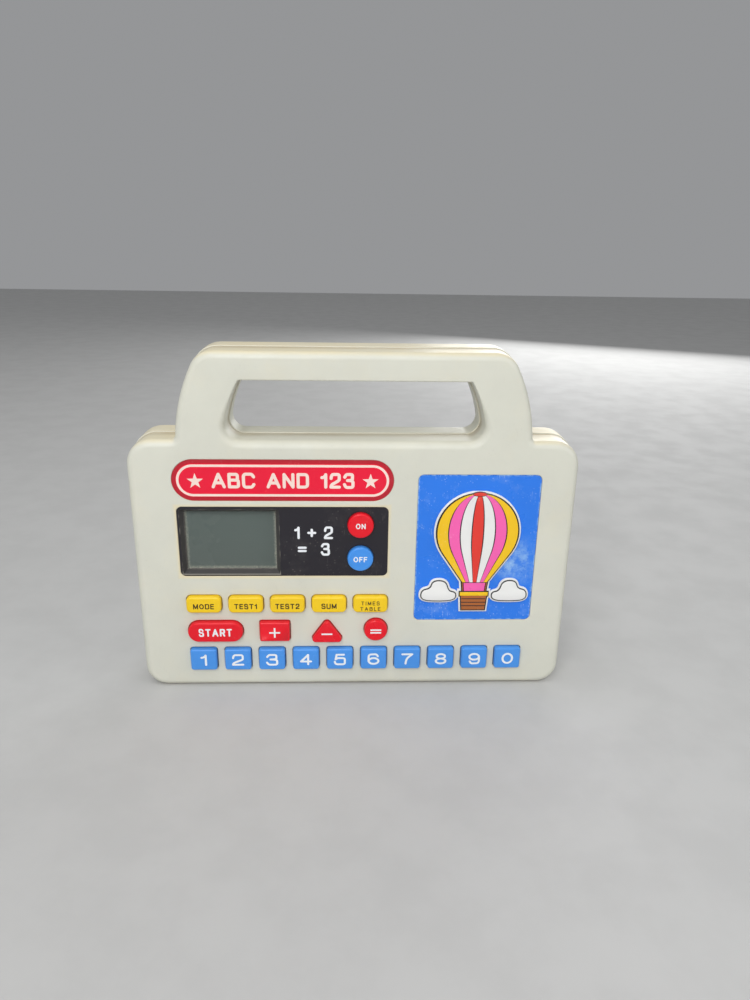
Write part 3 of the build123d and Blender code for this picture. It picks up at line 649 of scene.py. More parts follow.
# Colours of the picture's print
PRINT_WHITE = Finish(
    "picture_white",
    (0.86, 0.86, 0.84),
    smooth=0.28,
    rough=0.42,
    bump=0.03,
    scuff=(0.5, 0.5, 0.5),
    scuffed=0.10,
)
PRINT_BLACK = Finish("picture_black", (0.018, 0.016, 0.02), smooth=0.28, rough=0.42, bump=0.03)
PRINT_YELLOW = Finish(
    "picture_yellow",
    (0.94, 0.58, 0.015),
    smooth=0.26,
    rough=0.40,
    bump=0.03,
    scuff=(0.95, 0.8, 0.5),
    scuffed=0.2,
)
PRINT_RED = Finish(
    "picture_red",
    (0.80, 0.05, 0.035),
    smooth=0.26,
    rough=0.40,
    bump=0.03,
    scuff=(0.9, 0.5, 0.4),
    scuffed=0.2,
)
PRINT_PINK = Finish(
    "picture_pink",
    (0.97, 0.135, 0.46),
    smooth=0.26,
    rough=0.42,
    bump=0.03,
    scuff=(0.95, 0.5, 0.7),
    scuffed=0.25,
)
PRINT_BROWN = Finish("picture_brown", (0.42, 0.13, 0.035), smooth=0.26, rough=0.40, bump=0.03)


# ---------------------------------------------------------------- making pieces


def put(
    bm: bmesh.types.BMesh, name: str, finishes: Sequence[Finish], body: str
) -> bpy.types.Object:
    """Makes a finished bmesh a piece of the toy.

    Args:
        bm: the shape, already in its place; it is freed.
        name: the piece's name.
        finishes: its finishes, by material index.
        body: the body that it moves with.

    Returns:
        The piece's object.
    """
    for edge in bm.edges:
        edge.smooth = not (edge.is_manifold and edge.calc_face_angle(0.0) > SMOOTH_ANGLE)
    for face in bm.faces:
        face.smooth = True
    mesh = bpy.data.meshes.new(name)
    bm.to_mesh(mesh)
    bm.free()
    for finish in finishes:
        mesh.materials.append(finish.material())
    piece = bpy.data.objects.new(name, mesh)
    bpy.context.scene.collection.objects.link(piece)
    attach(piece, body)
    log.info("%s: %d faces on %s", name, len(mesh.polygons), body)
    return piece


def merged_copy(node: str) -> bmesh.types.BMesh:
    """A copy of a CAD node's mesh with its loose triangles joined."""
    bm = bmesh.new()
    bm.from_mesh(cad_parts[node].data)
    bmesh.ops.remove_doubles(bm, verts=bm.verts, dist=0.000001)
    for face in bm.faces:
        face.material_index = 0
    return bm


def dress_copy(node: str, finish: Finish, body: str) -> bpy.types.Object:
    """Replaces a CAD node by a joined copy that is smooth where the part is rounded.

    Args:
        node: the CAD node.
        finish: its finish.
        body: the body that it moves with.

    Returns:
        The piece's object.
    """
    piece = put(merged_copy(node), node + "_skin", [finish], body)
    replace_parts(piece, node)
    return piece


def dress_node(node: str, finish: Finish) -> None:
    """Gives a CAD node that stays as it is its finish."""
    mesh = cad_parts[node].data
    mesh.materials.clear()
    mesh.materials.append(finish.material())
    log.info("%s: CAD node in %s", node, finish.name)


def front_of(node: str) -> float:
    """How far forwards a CAD node reaches."""
    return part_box(node)[0].y


def middle_of(node: str) -> Point:
    """A CAD node's middle, seen from the front."""
    low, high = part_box(node)
    return (low.x + high.x) / 2, (low.z + high.z) / 2


def on_front(x: float, y: float, z: float) -> Matrix:
    """The placing of a flat drawing whose origin goes to x, z on the front at depth y."""
    return Matrix.Translation((x, y, z)) @ TO_FRONT


def curve_to_bmesh(curve: bpy.types.Curve) -> bmesh.types.BMesh:
    """Turns a text or flat curve into a bmesh and removes it."""
    holder = bpy.data.objects.new("drawing", curve)
    bpy.context.scene.collection.objects.link(holder)
    bpy.context.view_layer.update()
    drawn = holder.evaluated_get(bpy.context.evaluated_depsgraph_get())
    mesh = bpy.data.meshes.new_from_object(drawn)
    bm = bmesh.new()
    bm.from_mesh(mesh)
    bmesh.ops.remove_doubles(bm, verts=bm.verts, dist=0.0000001)
    bpy.data.objects.remove(holder)
    bpy.data.meshes.remove(mesh)
    return bm


@dataclass(frozen=True)
class Glyph:
    """One letter drawn with a pen: its width and its strokes, where the capitals' height is 1."""

    width: float
    lines: tuple[tuple[Point, ...], ...] = ()
    bends: tuple[tuple[Point, ...], ...] = ()
    rings: tuple[tuple[float, float, float, float], ...] = ()


STEM = ((0.0, 0.0), (0.0, 1.0))
GLYPHS = {
    "A": Glyph(0.80, (((0.0, 0.0), (0.4, 1.0), (0.8, 0.0)), ((0.15, 0.32), (0.65, 0.32)))),
    "B": Glyph(0.66, (STEM,), (
        ((0.0, 1.0), (0.34, 1.0), (0.60, 1.0), (0.60, 0.77), (0.60, 0.54), (0.34, 0.54), (0.0, 0.54)),
        ((0.0, 0.54), (0.36, 0.54), (0.66, 0.54), (0.66, 0.27), (0.66, 0.0), (0.36, 0.0), (0.0, 0.0)),
    )),
    "C": Glyph(0.72, (), (
        (
            (0.74, 0.80),
            (0.64, 1.02),
            (0.38, 1.02),
            (0.0, 1.02),
            (0.0, 0.5),
            (0.0, -0.02),
            (0.38, -0.02),
            (0.64, -0.02),
            (0.74, 0.20),
        ),
    )),
    "D": Glyph(
        0.68,
        (STEM,),
        (((0.0, 1.0), (0.26, 1.0), (0.68, 1.0), (0.68, 0.5), (0.68, 0.0), (0.26, 0.0), (0.0, 0.0)),),
    ),
    "E": Glyph(0.56, (((0.56, 1.0), (0.0, 1.0), (0.0, 0.0), (0.56, 0.0)), ((0.0, 0.52), (0.50, 0.52)))),
    "F": Glyph(0.54, (((0.54, 1.0), (0.0, 1.0), (0.0, 0.0)), ((0.0, 0.50), (0.47, 0.50)))),
    "I": Glyph(0.0, (STEM,)),
    "L": Glyph(0.50, (((0.0, 1.0), (0.0, 0.0), (0.50, 0.0)),)),
    "M": Glyph(0.80, (((0.0, 0.0), (0.0, 1.0), (0.4, 0.08), (0.8, 1.0), (0.8, 0.0)),)),
    "N": Glyph(0.64, (((0.0, 0.0), (0.0, 1.0), (0.64, 0.0), (0.64, 1.0)),)),
    "O": Glyph(0.78, rings=((0.39, 0.5, 0.39, 0.51),)),
    "R": Glyph(0.66, (STEM, ((0.36, 0.47), (0.66, 0.0))), (
        ((0.0, 1.0), (0.36, 1.0), (0.64, 1.0), (0.64, 0.74), (0.64, 0.47), (0.36, 0.47), (0.0, 0.47)),
    )),
    "S": Glyph(0.64, (), (
        ((0.60, 0.80), (0.52, 1.03), (0.31, 1.02), (0.02, 1.02), (0.02, 0.76), (0.02, 0.56), (0.32, 0.51),
         (0.64, 0.46), (0.64, 0.25), (0.64, -0.02), (0.32, -0.02), (0.08, -0.03), (0.0, 0.20)),
    )),
    "T": Glyph(0.66, (((0.0, 1.0), (0.66, 1.0)), ((0.33, 1.0), (0.33, 0.0)))),
    "U": Glyph(0.66, (), (
        (
            (0.0, 1.0),
            (0.0, 0.6),
            (0.0, 0.34),
            (0.02, -0.02),
            (0.33, -0.02),
            (0.64, -0.02),
            (0.66, 0.34),
            (0.66, 0.6),
            (0.66, 1.0),
        ),
    )),
    "0": Glyph(0.60, rings=((0.30, 0.5, 0.30, 0.51),)),
    "1": Glyph(0.28, (((0.28, 0.0), (0.28, 1.0)),), (((0.28, 1.0), (0.24, 0.80), (0.0, 0.76)),)),
    "2": Glyph(0.62, (((0.0, 0.0), (0.62, 0.0)),), (
        (
            (0.02, 0.70),
            (0.04, 1.02),
            (0.32, 1.02),
            (0.61, 1.02),
            (0.61, 0.72),
            (0.61, 0.54),
            (0.30, 0.35),
            (0.02, 0.18),
            (0.0, 0.0),
        ),
    )),
    "3": Glyph(0.62, (), (
        ((0.02, 0.80), (0.10, 1.02), (0.31, 1.02), (0.58, 1.02), (0.58, 0.78), (0.58, 0.54), (0.22, 0.54)),
        (
            (0.22, 0.54),
            (0.62, 0.54),
            (0.62, 0.26),
            (0.62, -0.02),
            (0.31, -0.02),
            (0.08, -0.02),
            (0.0, 0.21),
        ),
    )),
    "4": Glyph(0.66, (((0.47, 0.0), (0.47, 1.0), (0.0, 0.30), (0.66, 0.30)),)),
    "5": Glyph(0.62, (((0.56, 1.0), (0.11, 1.0), (0.05, 0.50)),), (
        (
            (0.05, 0.50),
            (0.14, 0.64),
            (0.33, 0.64),
            (0.62, 0.63),
            (0.62, 0.31),
            (0.62, -0.02),
            (0.31, -0.02),
            (0.02, -0.02),
            (0.0, 0.26),
        ),
    )),
    "6": Glyph(
        0.62,
        (),
        (((0.57, 0.80), (0.50, 1.03), (0.32, 1.02), (0.0, 1.0), (0.0, 0.46), (0.0, 0.31)),),
        ((0.31, 0.31, 0.31, 0.32),),
    ),
    "7": Glyph(
        0.60, (((0.0, 1.0), (0.60, 1.0)),), (((0.60, 1.0), (0.36, 0.72), (0.23, 0.38), (0.21, 0.0)),)
    ),
    "8": Glyph(0.62, rings=((0.31, 0.76, 0.27, 0.25), (0.31, 0.26, 0.31, 0.27))),
    "9": Glyph(
        0.62,
        (),
        (((0.05, 0.20), (0.12, -0.03), (0.30, -0.02), (0.62, 0.0), (0.62, 0.54), (0.62, 0.69)),),
        ((0.31, 0.69, 0.31, 0.32),),
    ),
    "+": Glyph(0.60, (((0.0, 0.5), (0.60, 0.5)), ((0.30, 0.2), (0.30, 0.8)))),
    "=": Glyph(0.60, (((0.0, 0.34), (0.60, 0.34)), ((0.0, 0.66), (0.60, 0.66)))),
    " ": Glyph(0.30),
}


@dataclass
class Lettering:
    """Printed letters drawn with a round pen, to a cap height and, where given, an overall width."""

    text: str
    cap: float
    pen: float
    width: float | None = None
    gap: float = 0.16
    round_sides: int = 12
    levels: int = 5
    level_step: float = 0.01

    def stroke(
        self, curve: bpy.types.Curve, points: Sequence[Point], kind: str, closed: bool = False
    ) -> None:
        """Adds one stroke's centre line, at a level of its own so that crossing strokes don't coincide."""
        level = len(curve.splines) % self.levels * self.level_step * self.pen
        spline = curve.splines.new(kind)
        spline.points.add(len(points) - 1)
        for point, (x, y) in zip(spline.points, points):
            point.co = (x, y, level, 1.0)
        if kind == "NURBS":
            spline.order_u = 3
            spline.use_endpoint_u = not closed
        spline.use_cyclic_u = closed

    def shape(self) -> bmesh.types.BMesh:
        """The letters about their own middle, with their front a little above zero.

        Returns:
            The letters as a flat drawing, in metres.
        """
        rise = self.cap - self.pen
        glyphs = [GLYPHS[letter] for letter in self.text]
        gap = self.gap * self.cap
        taken = len(glyphs) * self.pen + (len(glyphs) - 1) * gap
        letters = sum(glyph.width for glyph in glyphs) * rise
        stretch = (self.width - taken) / letters if self.width else 1.0
        x = (self.pen - (taken + letters * stretch)) / 2
        curve = bpy.data.curves.new("letters", "CURVE")
        curve.dimensions = "3D"
        curve.twist_mode = "Z_UP"
        curve.fill_mode = "FULL"
        curve.bevel_depth = self.pen / 2
        curve.bevel_resolution = 0
        curve.resolution_u = 4
        dots: dict[Point, None] = {}
        for glyph in glyphs:
            place = lambda p, left=x: (left + p[0] * rise * stretch, (p[1] - 0.5) * rise)
            for line in glyph.lines:
                placed = [place(p) for p in line]
                dots |= dict.fromkeys(placed)
                for start, stop in zip(placed, placed[1:]):
                    self.stroke(curve, (start, stop), "POLY")
            for bend in glyph.bends:
                placed = [place(p) for p in bend]
                dots |= dict.fromkeys((placed[0], placed[-1]))
                self.stroke(curve, placed, "NURBS")
            for cx, cy, rx, ry in glyph.rings:
                self.stroke(curve, [place(p) for p in ring_points(cx, cy, rx, ry)], "NURBS", closed=True)
            x += glyph.width * rise * stretch + self.pen + gap
        bm = curve_to_bmesh(curve)
        bmesh.ops.scale(bm, vec=(1, 1, INK_LIFT / (self.pen / 2)), verts=bm.verts)
        for dot in dots:
            bmesh.ops.create_cone(
                bm, cap_ends=True, segments=self.round_sides, radius1=self.pen / 2, radius2=0.0,
                depth=INK_LIFT, matrix=Matrix.Translation((*dot, INK_LIFT / 2)),
            )
        return bm


def printed(
    bm: bmesh.types.BMesh, name: str, finish: Finish, body: str, place: Matrix
) -> bpy.types.Object:
    """Puts flat printed marks on a surface.

    Args:
        bm: the marks as a flat drawing.
        name: the piece's name.
        finish: the ink.
        body: the body that they move with.
        place: where they go.

    Returns:
        The piece's object.
    """
    bmesh.ops.transform(bm, matrix=place, verts=bm.verts)
    return put(bm, name, [finish], body)


def bar_shape(width: float, height: float) -> bmesh.types.BMesh:
    """A thin printed bar about its own middle."""
    bm = bmesh.new()
    bmesh.ops.create_cube(bm, size=1.0)
    bmesh.ops.scale(bm, vec=(width, height, 2 * INK_LIFT), verts=bm.verts)
    return bm


def join(parts: Iterable[tuple[bmesh.types.BMesh, Point]]) -> bmesh.types.BMesh:
    """Joins drawings, each moved to its own point, into one."""
    whole = bmesh.new()
    for bm, (x, y) in parts:
        bmesh.ops.translate(bm, vec=(x, y, 0), verts=bm.verts)
        mesh = bpy.data.meshes.new("part")
        bm.to_mesh(mesh)
        bm.free()
        whole.from_mesh(mesh)
        bpy.data.meshes.remove(mesh)
    return whole


def star_shape(radius: float, waist: float = 0.40) -> bmesh.types.BMesh:
    """A five-pointed printed star about its own middle."""
    bm = bmesh.new()
    made = bmesh.ops.create_circle(bm, cap_ends=True, segments=10, radius=radius)
    for vert in made["verts"]:
        turn = round(math.atan2(vert.co.x, vert.co.y) / (math.pi / 5))
        if turn % 2:
            vert.co *= waist
    raised = bmesh.ops.extrude_face_region(bm, geom=bm.faces[:])
    tops = [v for v in raised["geom"] if isinstance(v, bmesh.types.BMVert)]
    bmesh.ops.translate(bm, vec=(0, 0, INK_LIFT), verts=tops)
    bmesh.ops.recalc_face_normals(bm, faces=bm.faces)
    return bm


# ---------------------------------------------------------------- sub-assemblies


@dataclass
class Casing:
    """The two shells and the battery door, with the hand hole's front edge crisp above and dished below."""

    slot: str = "ivory_shell"
    edge_round: float = 2.6 * MM
    crisp_round: float = 0.9 * MM
    dished_round: float = 4.4 * MM
    crisp_from: float = 174.0 * MM
    dished_to: float = 150.0 * MM
    hole_reach: float = 73.0 * MM
    hole_low: float = 145.0 * MM
    hole_high: float = 184.0 * MM
    same_depth: float = 0.005 * MM
    spare: float = 0.02 * MM

    def near_hole(self, point: Vector) -> bool:
        """Whether a point is beside the hand hole."""
        return abs(point.x) < self.hole_reach and self.hole_low < point.z < self.hole_high

    def shape_hole(self, bm: bmesh.types.BMesh) -> None:
        """Gives the rounding of the hand hole's front edge a radius that grows from its top to its bottom.

        Args:
            bm: a joined copy of the front shell.
        """
        face_y = min(vert.co.y for vert in bm.verts)
        wall_y = face_y + self.edge_round
        wall = [v for v in bm.verts if abs(v.co.y - wall_y) < self.same_depth and self.near_hole(v.co)]
        outline = KDTree(len(wall))
        for index, vert in enumerate(wall):
            outline.insert(Vector((vert.co.x, 0.0, vert.co.z)), index)
        outline.balance()
        moves = []
        for vert in bm.verts:
            if vert.co.y > wall_y + self.same_depth or not self.near_hole(vert.co):
                continue
            foot, _, away = outline.find(Vector((vert.co.x, 0.0, vert.co.z)))
            if away < self.edge_round + self.spare:
                share = min(1.0, max(0.0, (foot.z - self.dished_to) / (self.crisp_from - self.dished_to)))
                share = share * share * (3 - 2 * share)
                radius = self.dished_round + (self.crisp_round - self.dished_round) * share
                corner = Vector((foot.x, face_y, foot.z))
                moves.append((vert, corner + (vert.co - corner) * (radius / self.edge_round)))
        for vert, place in moves:
            vert.co = place

    def build(self) -> None:
        """Dresses the shells, the door and the screws."""
        shell = merged_copy("front_shell")
        self.shape_hole(shell)
        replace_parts(put(shell, "front_shell_skin", [IVORY], CASE), "front_shell")
        dress_copy("rear_shell", IVORY, CASE)
        dress_copy("battery_door", IVORY, DOOR)
        dress_copy("case_screws", STEEL, CASE)


@dataclass
class TitlePlate:
    """The red pill-shaped plate: a darker rim, a raised field with a pale line, stars and letters."""

    slot: str = "red_print"
    title: str = "ABC AND 123"
    cap: float = 8.7 * MM
    pen: float = 1.7 * MM
    word_width: float = 76.0 * MM
    star_radius: float = 4.5 * MM
    star_reach: float = 46.6 * MM
    rim: float = 2.3 * MM
    line: float = 1.35 * MM
    step: float = 0.4 * MM
    soft: float = 0.15 * MM

    def build(self) -> None:
        """Builds the plate and prints on it."""
        low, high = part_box("title_plate")
        width, height = high.x - low.x, high.z - low.z
        middle = middle_of("title_plate")
        bm = pill_face(width, height)
        field = bm.faces[:]
        rings = []
        for thickness, depth in (
            (self.rim - self.soft, 0.0), (self.soft, self.step), (0.25 * MM, 0.0), (self.line, 0.0)
        ):
            ring = bmesh.ops.inset_region(
                bm, faces=field, thickness=thickness, depth=depth, use_even_offset=True, use_boundary=True
            )
            rings.append(ring["faces"])
        for face in bm.faces:
            face.material_index = 0
        for face in rings[0]:
            face.material_index = 1
        for face in rings[3]:
            face.material_index = 2
        rim_edges = [e for e in bm.edges if e.is_boundary]
        skirt = bmesh.ops.extrude_edge_only(bm, edges=rim_edges)
        bmesh.ops.translate(
            bm,
            vec=(0, 0, -self.step),
            verts=[v for v in skirt["geom"] if isinstance(v, bmesh.types.BMVert)],
        )
        bmesh.ops.recalc_face_normals(bm, faces=bm.faces)
        surface = front_of("title_plate")
        place = on_front(middle[0], surface + self.step, middle[1])
        bmesh.ops.transform(bm, matrix=place, verts=bm.verts)
        plate = put(bm, "title_plate_skin", [TITLE_RED, TITLE_RIM, WARM_WHITE], CASE)
        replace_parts(plate, "title_plate")
        letters = Lettering(self.title, self.cap, self.pen, self.word_width, gap=0.12).shape()
        marks = join(
            [
                (letters, (0.0, 0.0)),
                *((star_shape(self.star_radius), (side * self.star_reach, -0.4 * MM)) for side in (-1, 1)),
            ]
        )
        printed(
            marks, "title_letters", WARM_WHITE, CASE, on_front(middle[0], surface, middle[1])
        )


def pill_face(width: float, height: float, segments: int = 72) -> bmesh.types.BMesh:
    """A flat pill-shaped face about its own middle.

    Args:
        width: its overall width.
        height: its overall height, which its ends are rounded to.
        segments: how many edges its two round ends have together.

    Returns:
        The bmesh with that one face.
    """
    bm = bmesh.new()
    made = bmesh.ops.create_circle(bm, cap_ends=True, segments=segments, radius=height / 2)
    bmesh.ops.rotate(bm, matrix=Matrix.Rotation(math.pi / segments, 3, "Z"), verts=made["verts"])
    for vert in made["verts"]:
        vert.co.x += math.copysign((width - height) / 2, vert.co.x)
    return bm


@dataclass
class Display:
    """The black fascia, the clear window and the liquid crystal stack behind it."""

    slot: str = "black_plastic"
    mark_cap: float = 7.4 * MM
    mark_pen: float = 1.35 * MM
    mark_x: float = -22.6 * MM
    mark_rows: tuple[float, float] = (96.4 * MM, 86.6 * MM)
    mark_text: tuple[str, str] = ("1 + 2", "=  3")

    def build(self) -> None:
        """Dresses the stack and prints the marks on the fascia."""
        dress_copy("display_panel", BLACK, CASE)
        dress_copy("display_window", PANE, CASE)
        dress_copy("display_glass", CELL, CASE)
        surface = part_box("display_panel")[0].y
        rows = [
            (
                Lettering(text, self.mark_cap, self.mark_pen, gap=0.06).shape(), (0.0, z)
            ) for text, z in zip(self.mark_text, self.mark_rows)
        ]
        printed(join(rows), "fascia_marks", KEY_WHITE, CASE, on_front(self.mark_x, surface, 0.0))


class Row(Enum):
    """The rows of keys and the slot that each row's plastic belongs to."""

    MODE = "yellow_key"
    RED = "red_key"
    DIGIT = "blue_key"


@dataclass
class KeyCap:
    """One key: its plastic and what is printed on it."""

    node: str
    plastic: Finish
    slot: str
    marks: Callable[[], bmesh.types.BMesh]
    ink: Finish = KEY_WHITE

    def build(self) -> None:
        """Dresses the key and prints on it."""
        body = self.node.replace("key_", "button_")
        dress_copy(self.node, self.plastic, body)
        x, z = middle_of(self.node)
        place = on_front(x, front_of(self.node), z)
        printed(self.marks(), self.node + "_print", self.ink, body, place)


@dataclass
class Keyboard:
    """All the keys, row by row."""

    digit_cap: float = 7.4 * MM
    digit_width: float = 7.0 * MM
    digit_pen: float = 1.2 * MM
    mode_cap: float = 3.3 * MM
    start_cap: float = 4.9 * MM
    start_pen: float = 0.95 * MM
    start_width: float = 18.8 * MM
    power_cap: float = 3.2 * MM
    power_pen: float = 0.6 * MM
    narrow_one: float = 0.52
    sign: float = 6.2 * MM
    stroke: float = 0.95 * MM
    modes: dict[str, tuple[str, ...]] = field(
        default_factory=lambda: {
            "key_game": ("MODE",),
            "key_test_1": ("TEST1",),
            "key_test_2": ("TEST2",),
            "key_sum": ("SUM",),
            "key_table": ("TIMES", "TABLE"),
        }
    )

    def rows_of_words(self, words: Sequence[str], cap: float) -> bmesh.types.BMesh:
        """One word, or two in smaller letters above each other, a little below the middle."""
        if len(words) == 1:
            return join([(Lettering(words[0], cap, 0.19 * cap).shape(), (0.0, -0.7 * MM))])
        cap = 0.74 * cap
        return join(
            [
                (
                    Lettering(w, cap, 0.17 * cap, gap=0.3).shape(), (0.0, z)
                ) for w, z in zip(words, (1.0 * MM, -2.5 * MM))
            ]
        )

    def signs(self, kind: str) -> bmesh.types.BMesh:
        """A plus, minus or equals sign."""
        bars = {
            "key_plus": [(self.sign, self.stroke, 0.0), (self.stroke, self.sign, 0.0)],
            "key_minus": [(self.sign, self.stroke, 0.0)],
            "key_equals": [(self.sign, self.stroke, 0.85 * MM), (self.sign, self.stroke, -0.85 * MM)],
        }[kind]
        drop = {"key_minus": -0.9 * MM}.get(kind, -0.3 * MM)
        lift = INK_LIFT * 0.1
        shapes = [(bar_shape(w, h), (0.0, z + drop)) for w, h, z in bars]
        bmesh.ops.translate(shapes[-1][0], vec=(0, 0, lift), verts=shapes[-1][0].verts)
        return join(shapes)

    def build(self) -> None:
        """Builds every key."""
        caps = [
            KeyCap(
                node,
                YELLOW_KEY,
                Row.MODE.value,
                lambda w=words: self.rows_of_words(w, self.mode_cap),
                KEY_BLACK,
            )
            for node, words in self.modes.items()
        ]
        caps += [
            KeyCap(
                node, RED_KEY, Row.RED.value, lambda n=node: self.signs(n)
            ) for node in ("key_plus", "key_minus", "key_equals")
        ]
        start = lambda: Lettering("START", self.start_cap, self.start_pen, self.start_width).shape()
        caps.append(KeyCap("key_start", RED_KEY, Row.RED.value, start))
        for digit in "1234567890":
            width = self.digit_width * (self.narrow_one if digit == "1" else 1.0)
            digits = lambda d=digit, w=width: Lettering(d, self.digit_cap, self.digit_pen, w).shape()
            caps.append(KeyCap("key_" + digit, BLUE_KEY, Row.DIGIT.value, digits))
        caps.append(
            KeyCap(
                "key_on",
                RED_KEY,
                Row.RED.value,
                lambda: Lettering("ON", self.power_cap, self.power_pen).shape(),
            )
        )
        off = lambda: Lettering("OFF", self.power_cap, self.power_pen).shape()
        caps.append(KeyCap("key_off", BRIGHT_BLUE_KEY, Row.DIGIT.value, off))
        for cap in caps:
            cap.build()


@dataclass
class Cutout:
    """One formed shape of the picture: a smooth closed outline raised to a height with a soft edge."""

    name: str
    finish: Finish
    points: Sequence[Point]
    height: float
    grow: float = 0.0
    soft: float = 0.35
    mirrored: bool = False
    sharp: bool = False

    def shape(self) -> bmesh.types.BMesh:
        """The shape as a flat drawing in metres, its foot at zero."""
        curve = bpy.data.curves.new(self.name, "CURVE")
        curve.dimensions = "2D"
        curve.fill_mode = "BOTH"
        curve.resolution_u = 6
        sides = (1, -1) if self.mirrored else (1,)
        for side in sides:
            spline = curve.splines.new("POLY" if self.sharp else "NURBS")
            spline.points.add(len(self.points) - 1)
            for point, (x, y) in zip(spline.points, self.points):
                point.co = (side * x * MM, y * MM, 0.0, 1.0)
            spline.use_cyclic_u = True
            if not self.sharp:
                spline.order_u = 3
        soft = min(self.soft, 0.45 * self.height) * MM
        curve.offset = self.grow * MM - soft
        curve.extrude = self.height * MM / 2 - soft
        curve.bevel_depth = soft
        curve.bevel_resolution = 2
        bm = curve_to_bmesh(curve)
        bmesh.ops.translate(bm, vec=(0, 0, self.height * MM / 2), verts=bm.verts)
        bmesh.ops.recalc_face_normals(bm, faces=bm.faces)
        return bm


def ring_points(x: float, y: float, rx: float, ry: float, count: int = 8) -> list[Point]:
    """Control points of a closed NURBS ring of about these half-sizes."""
    swell = 1.0 / (0.5 + 0.5 * math.cos(math.pi / count) ** 2) ** 0.5
    turns = [2 * math.pi * (i + 0.5) / count for i in range(count)]
    return [(x + rx * swell * math.cos(t), y + ry * swell * math.sin(t)) for t in turns]


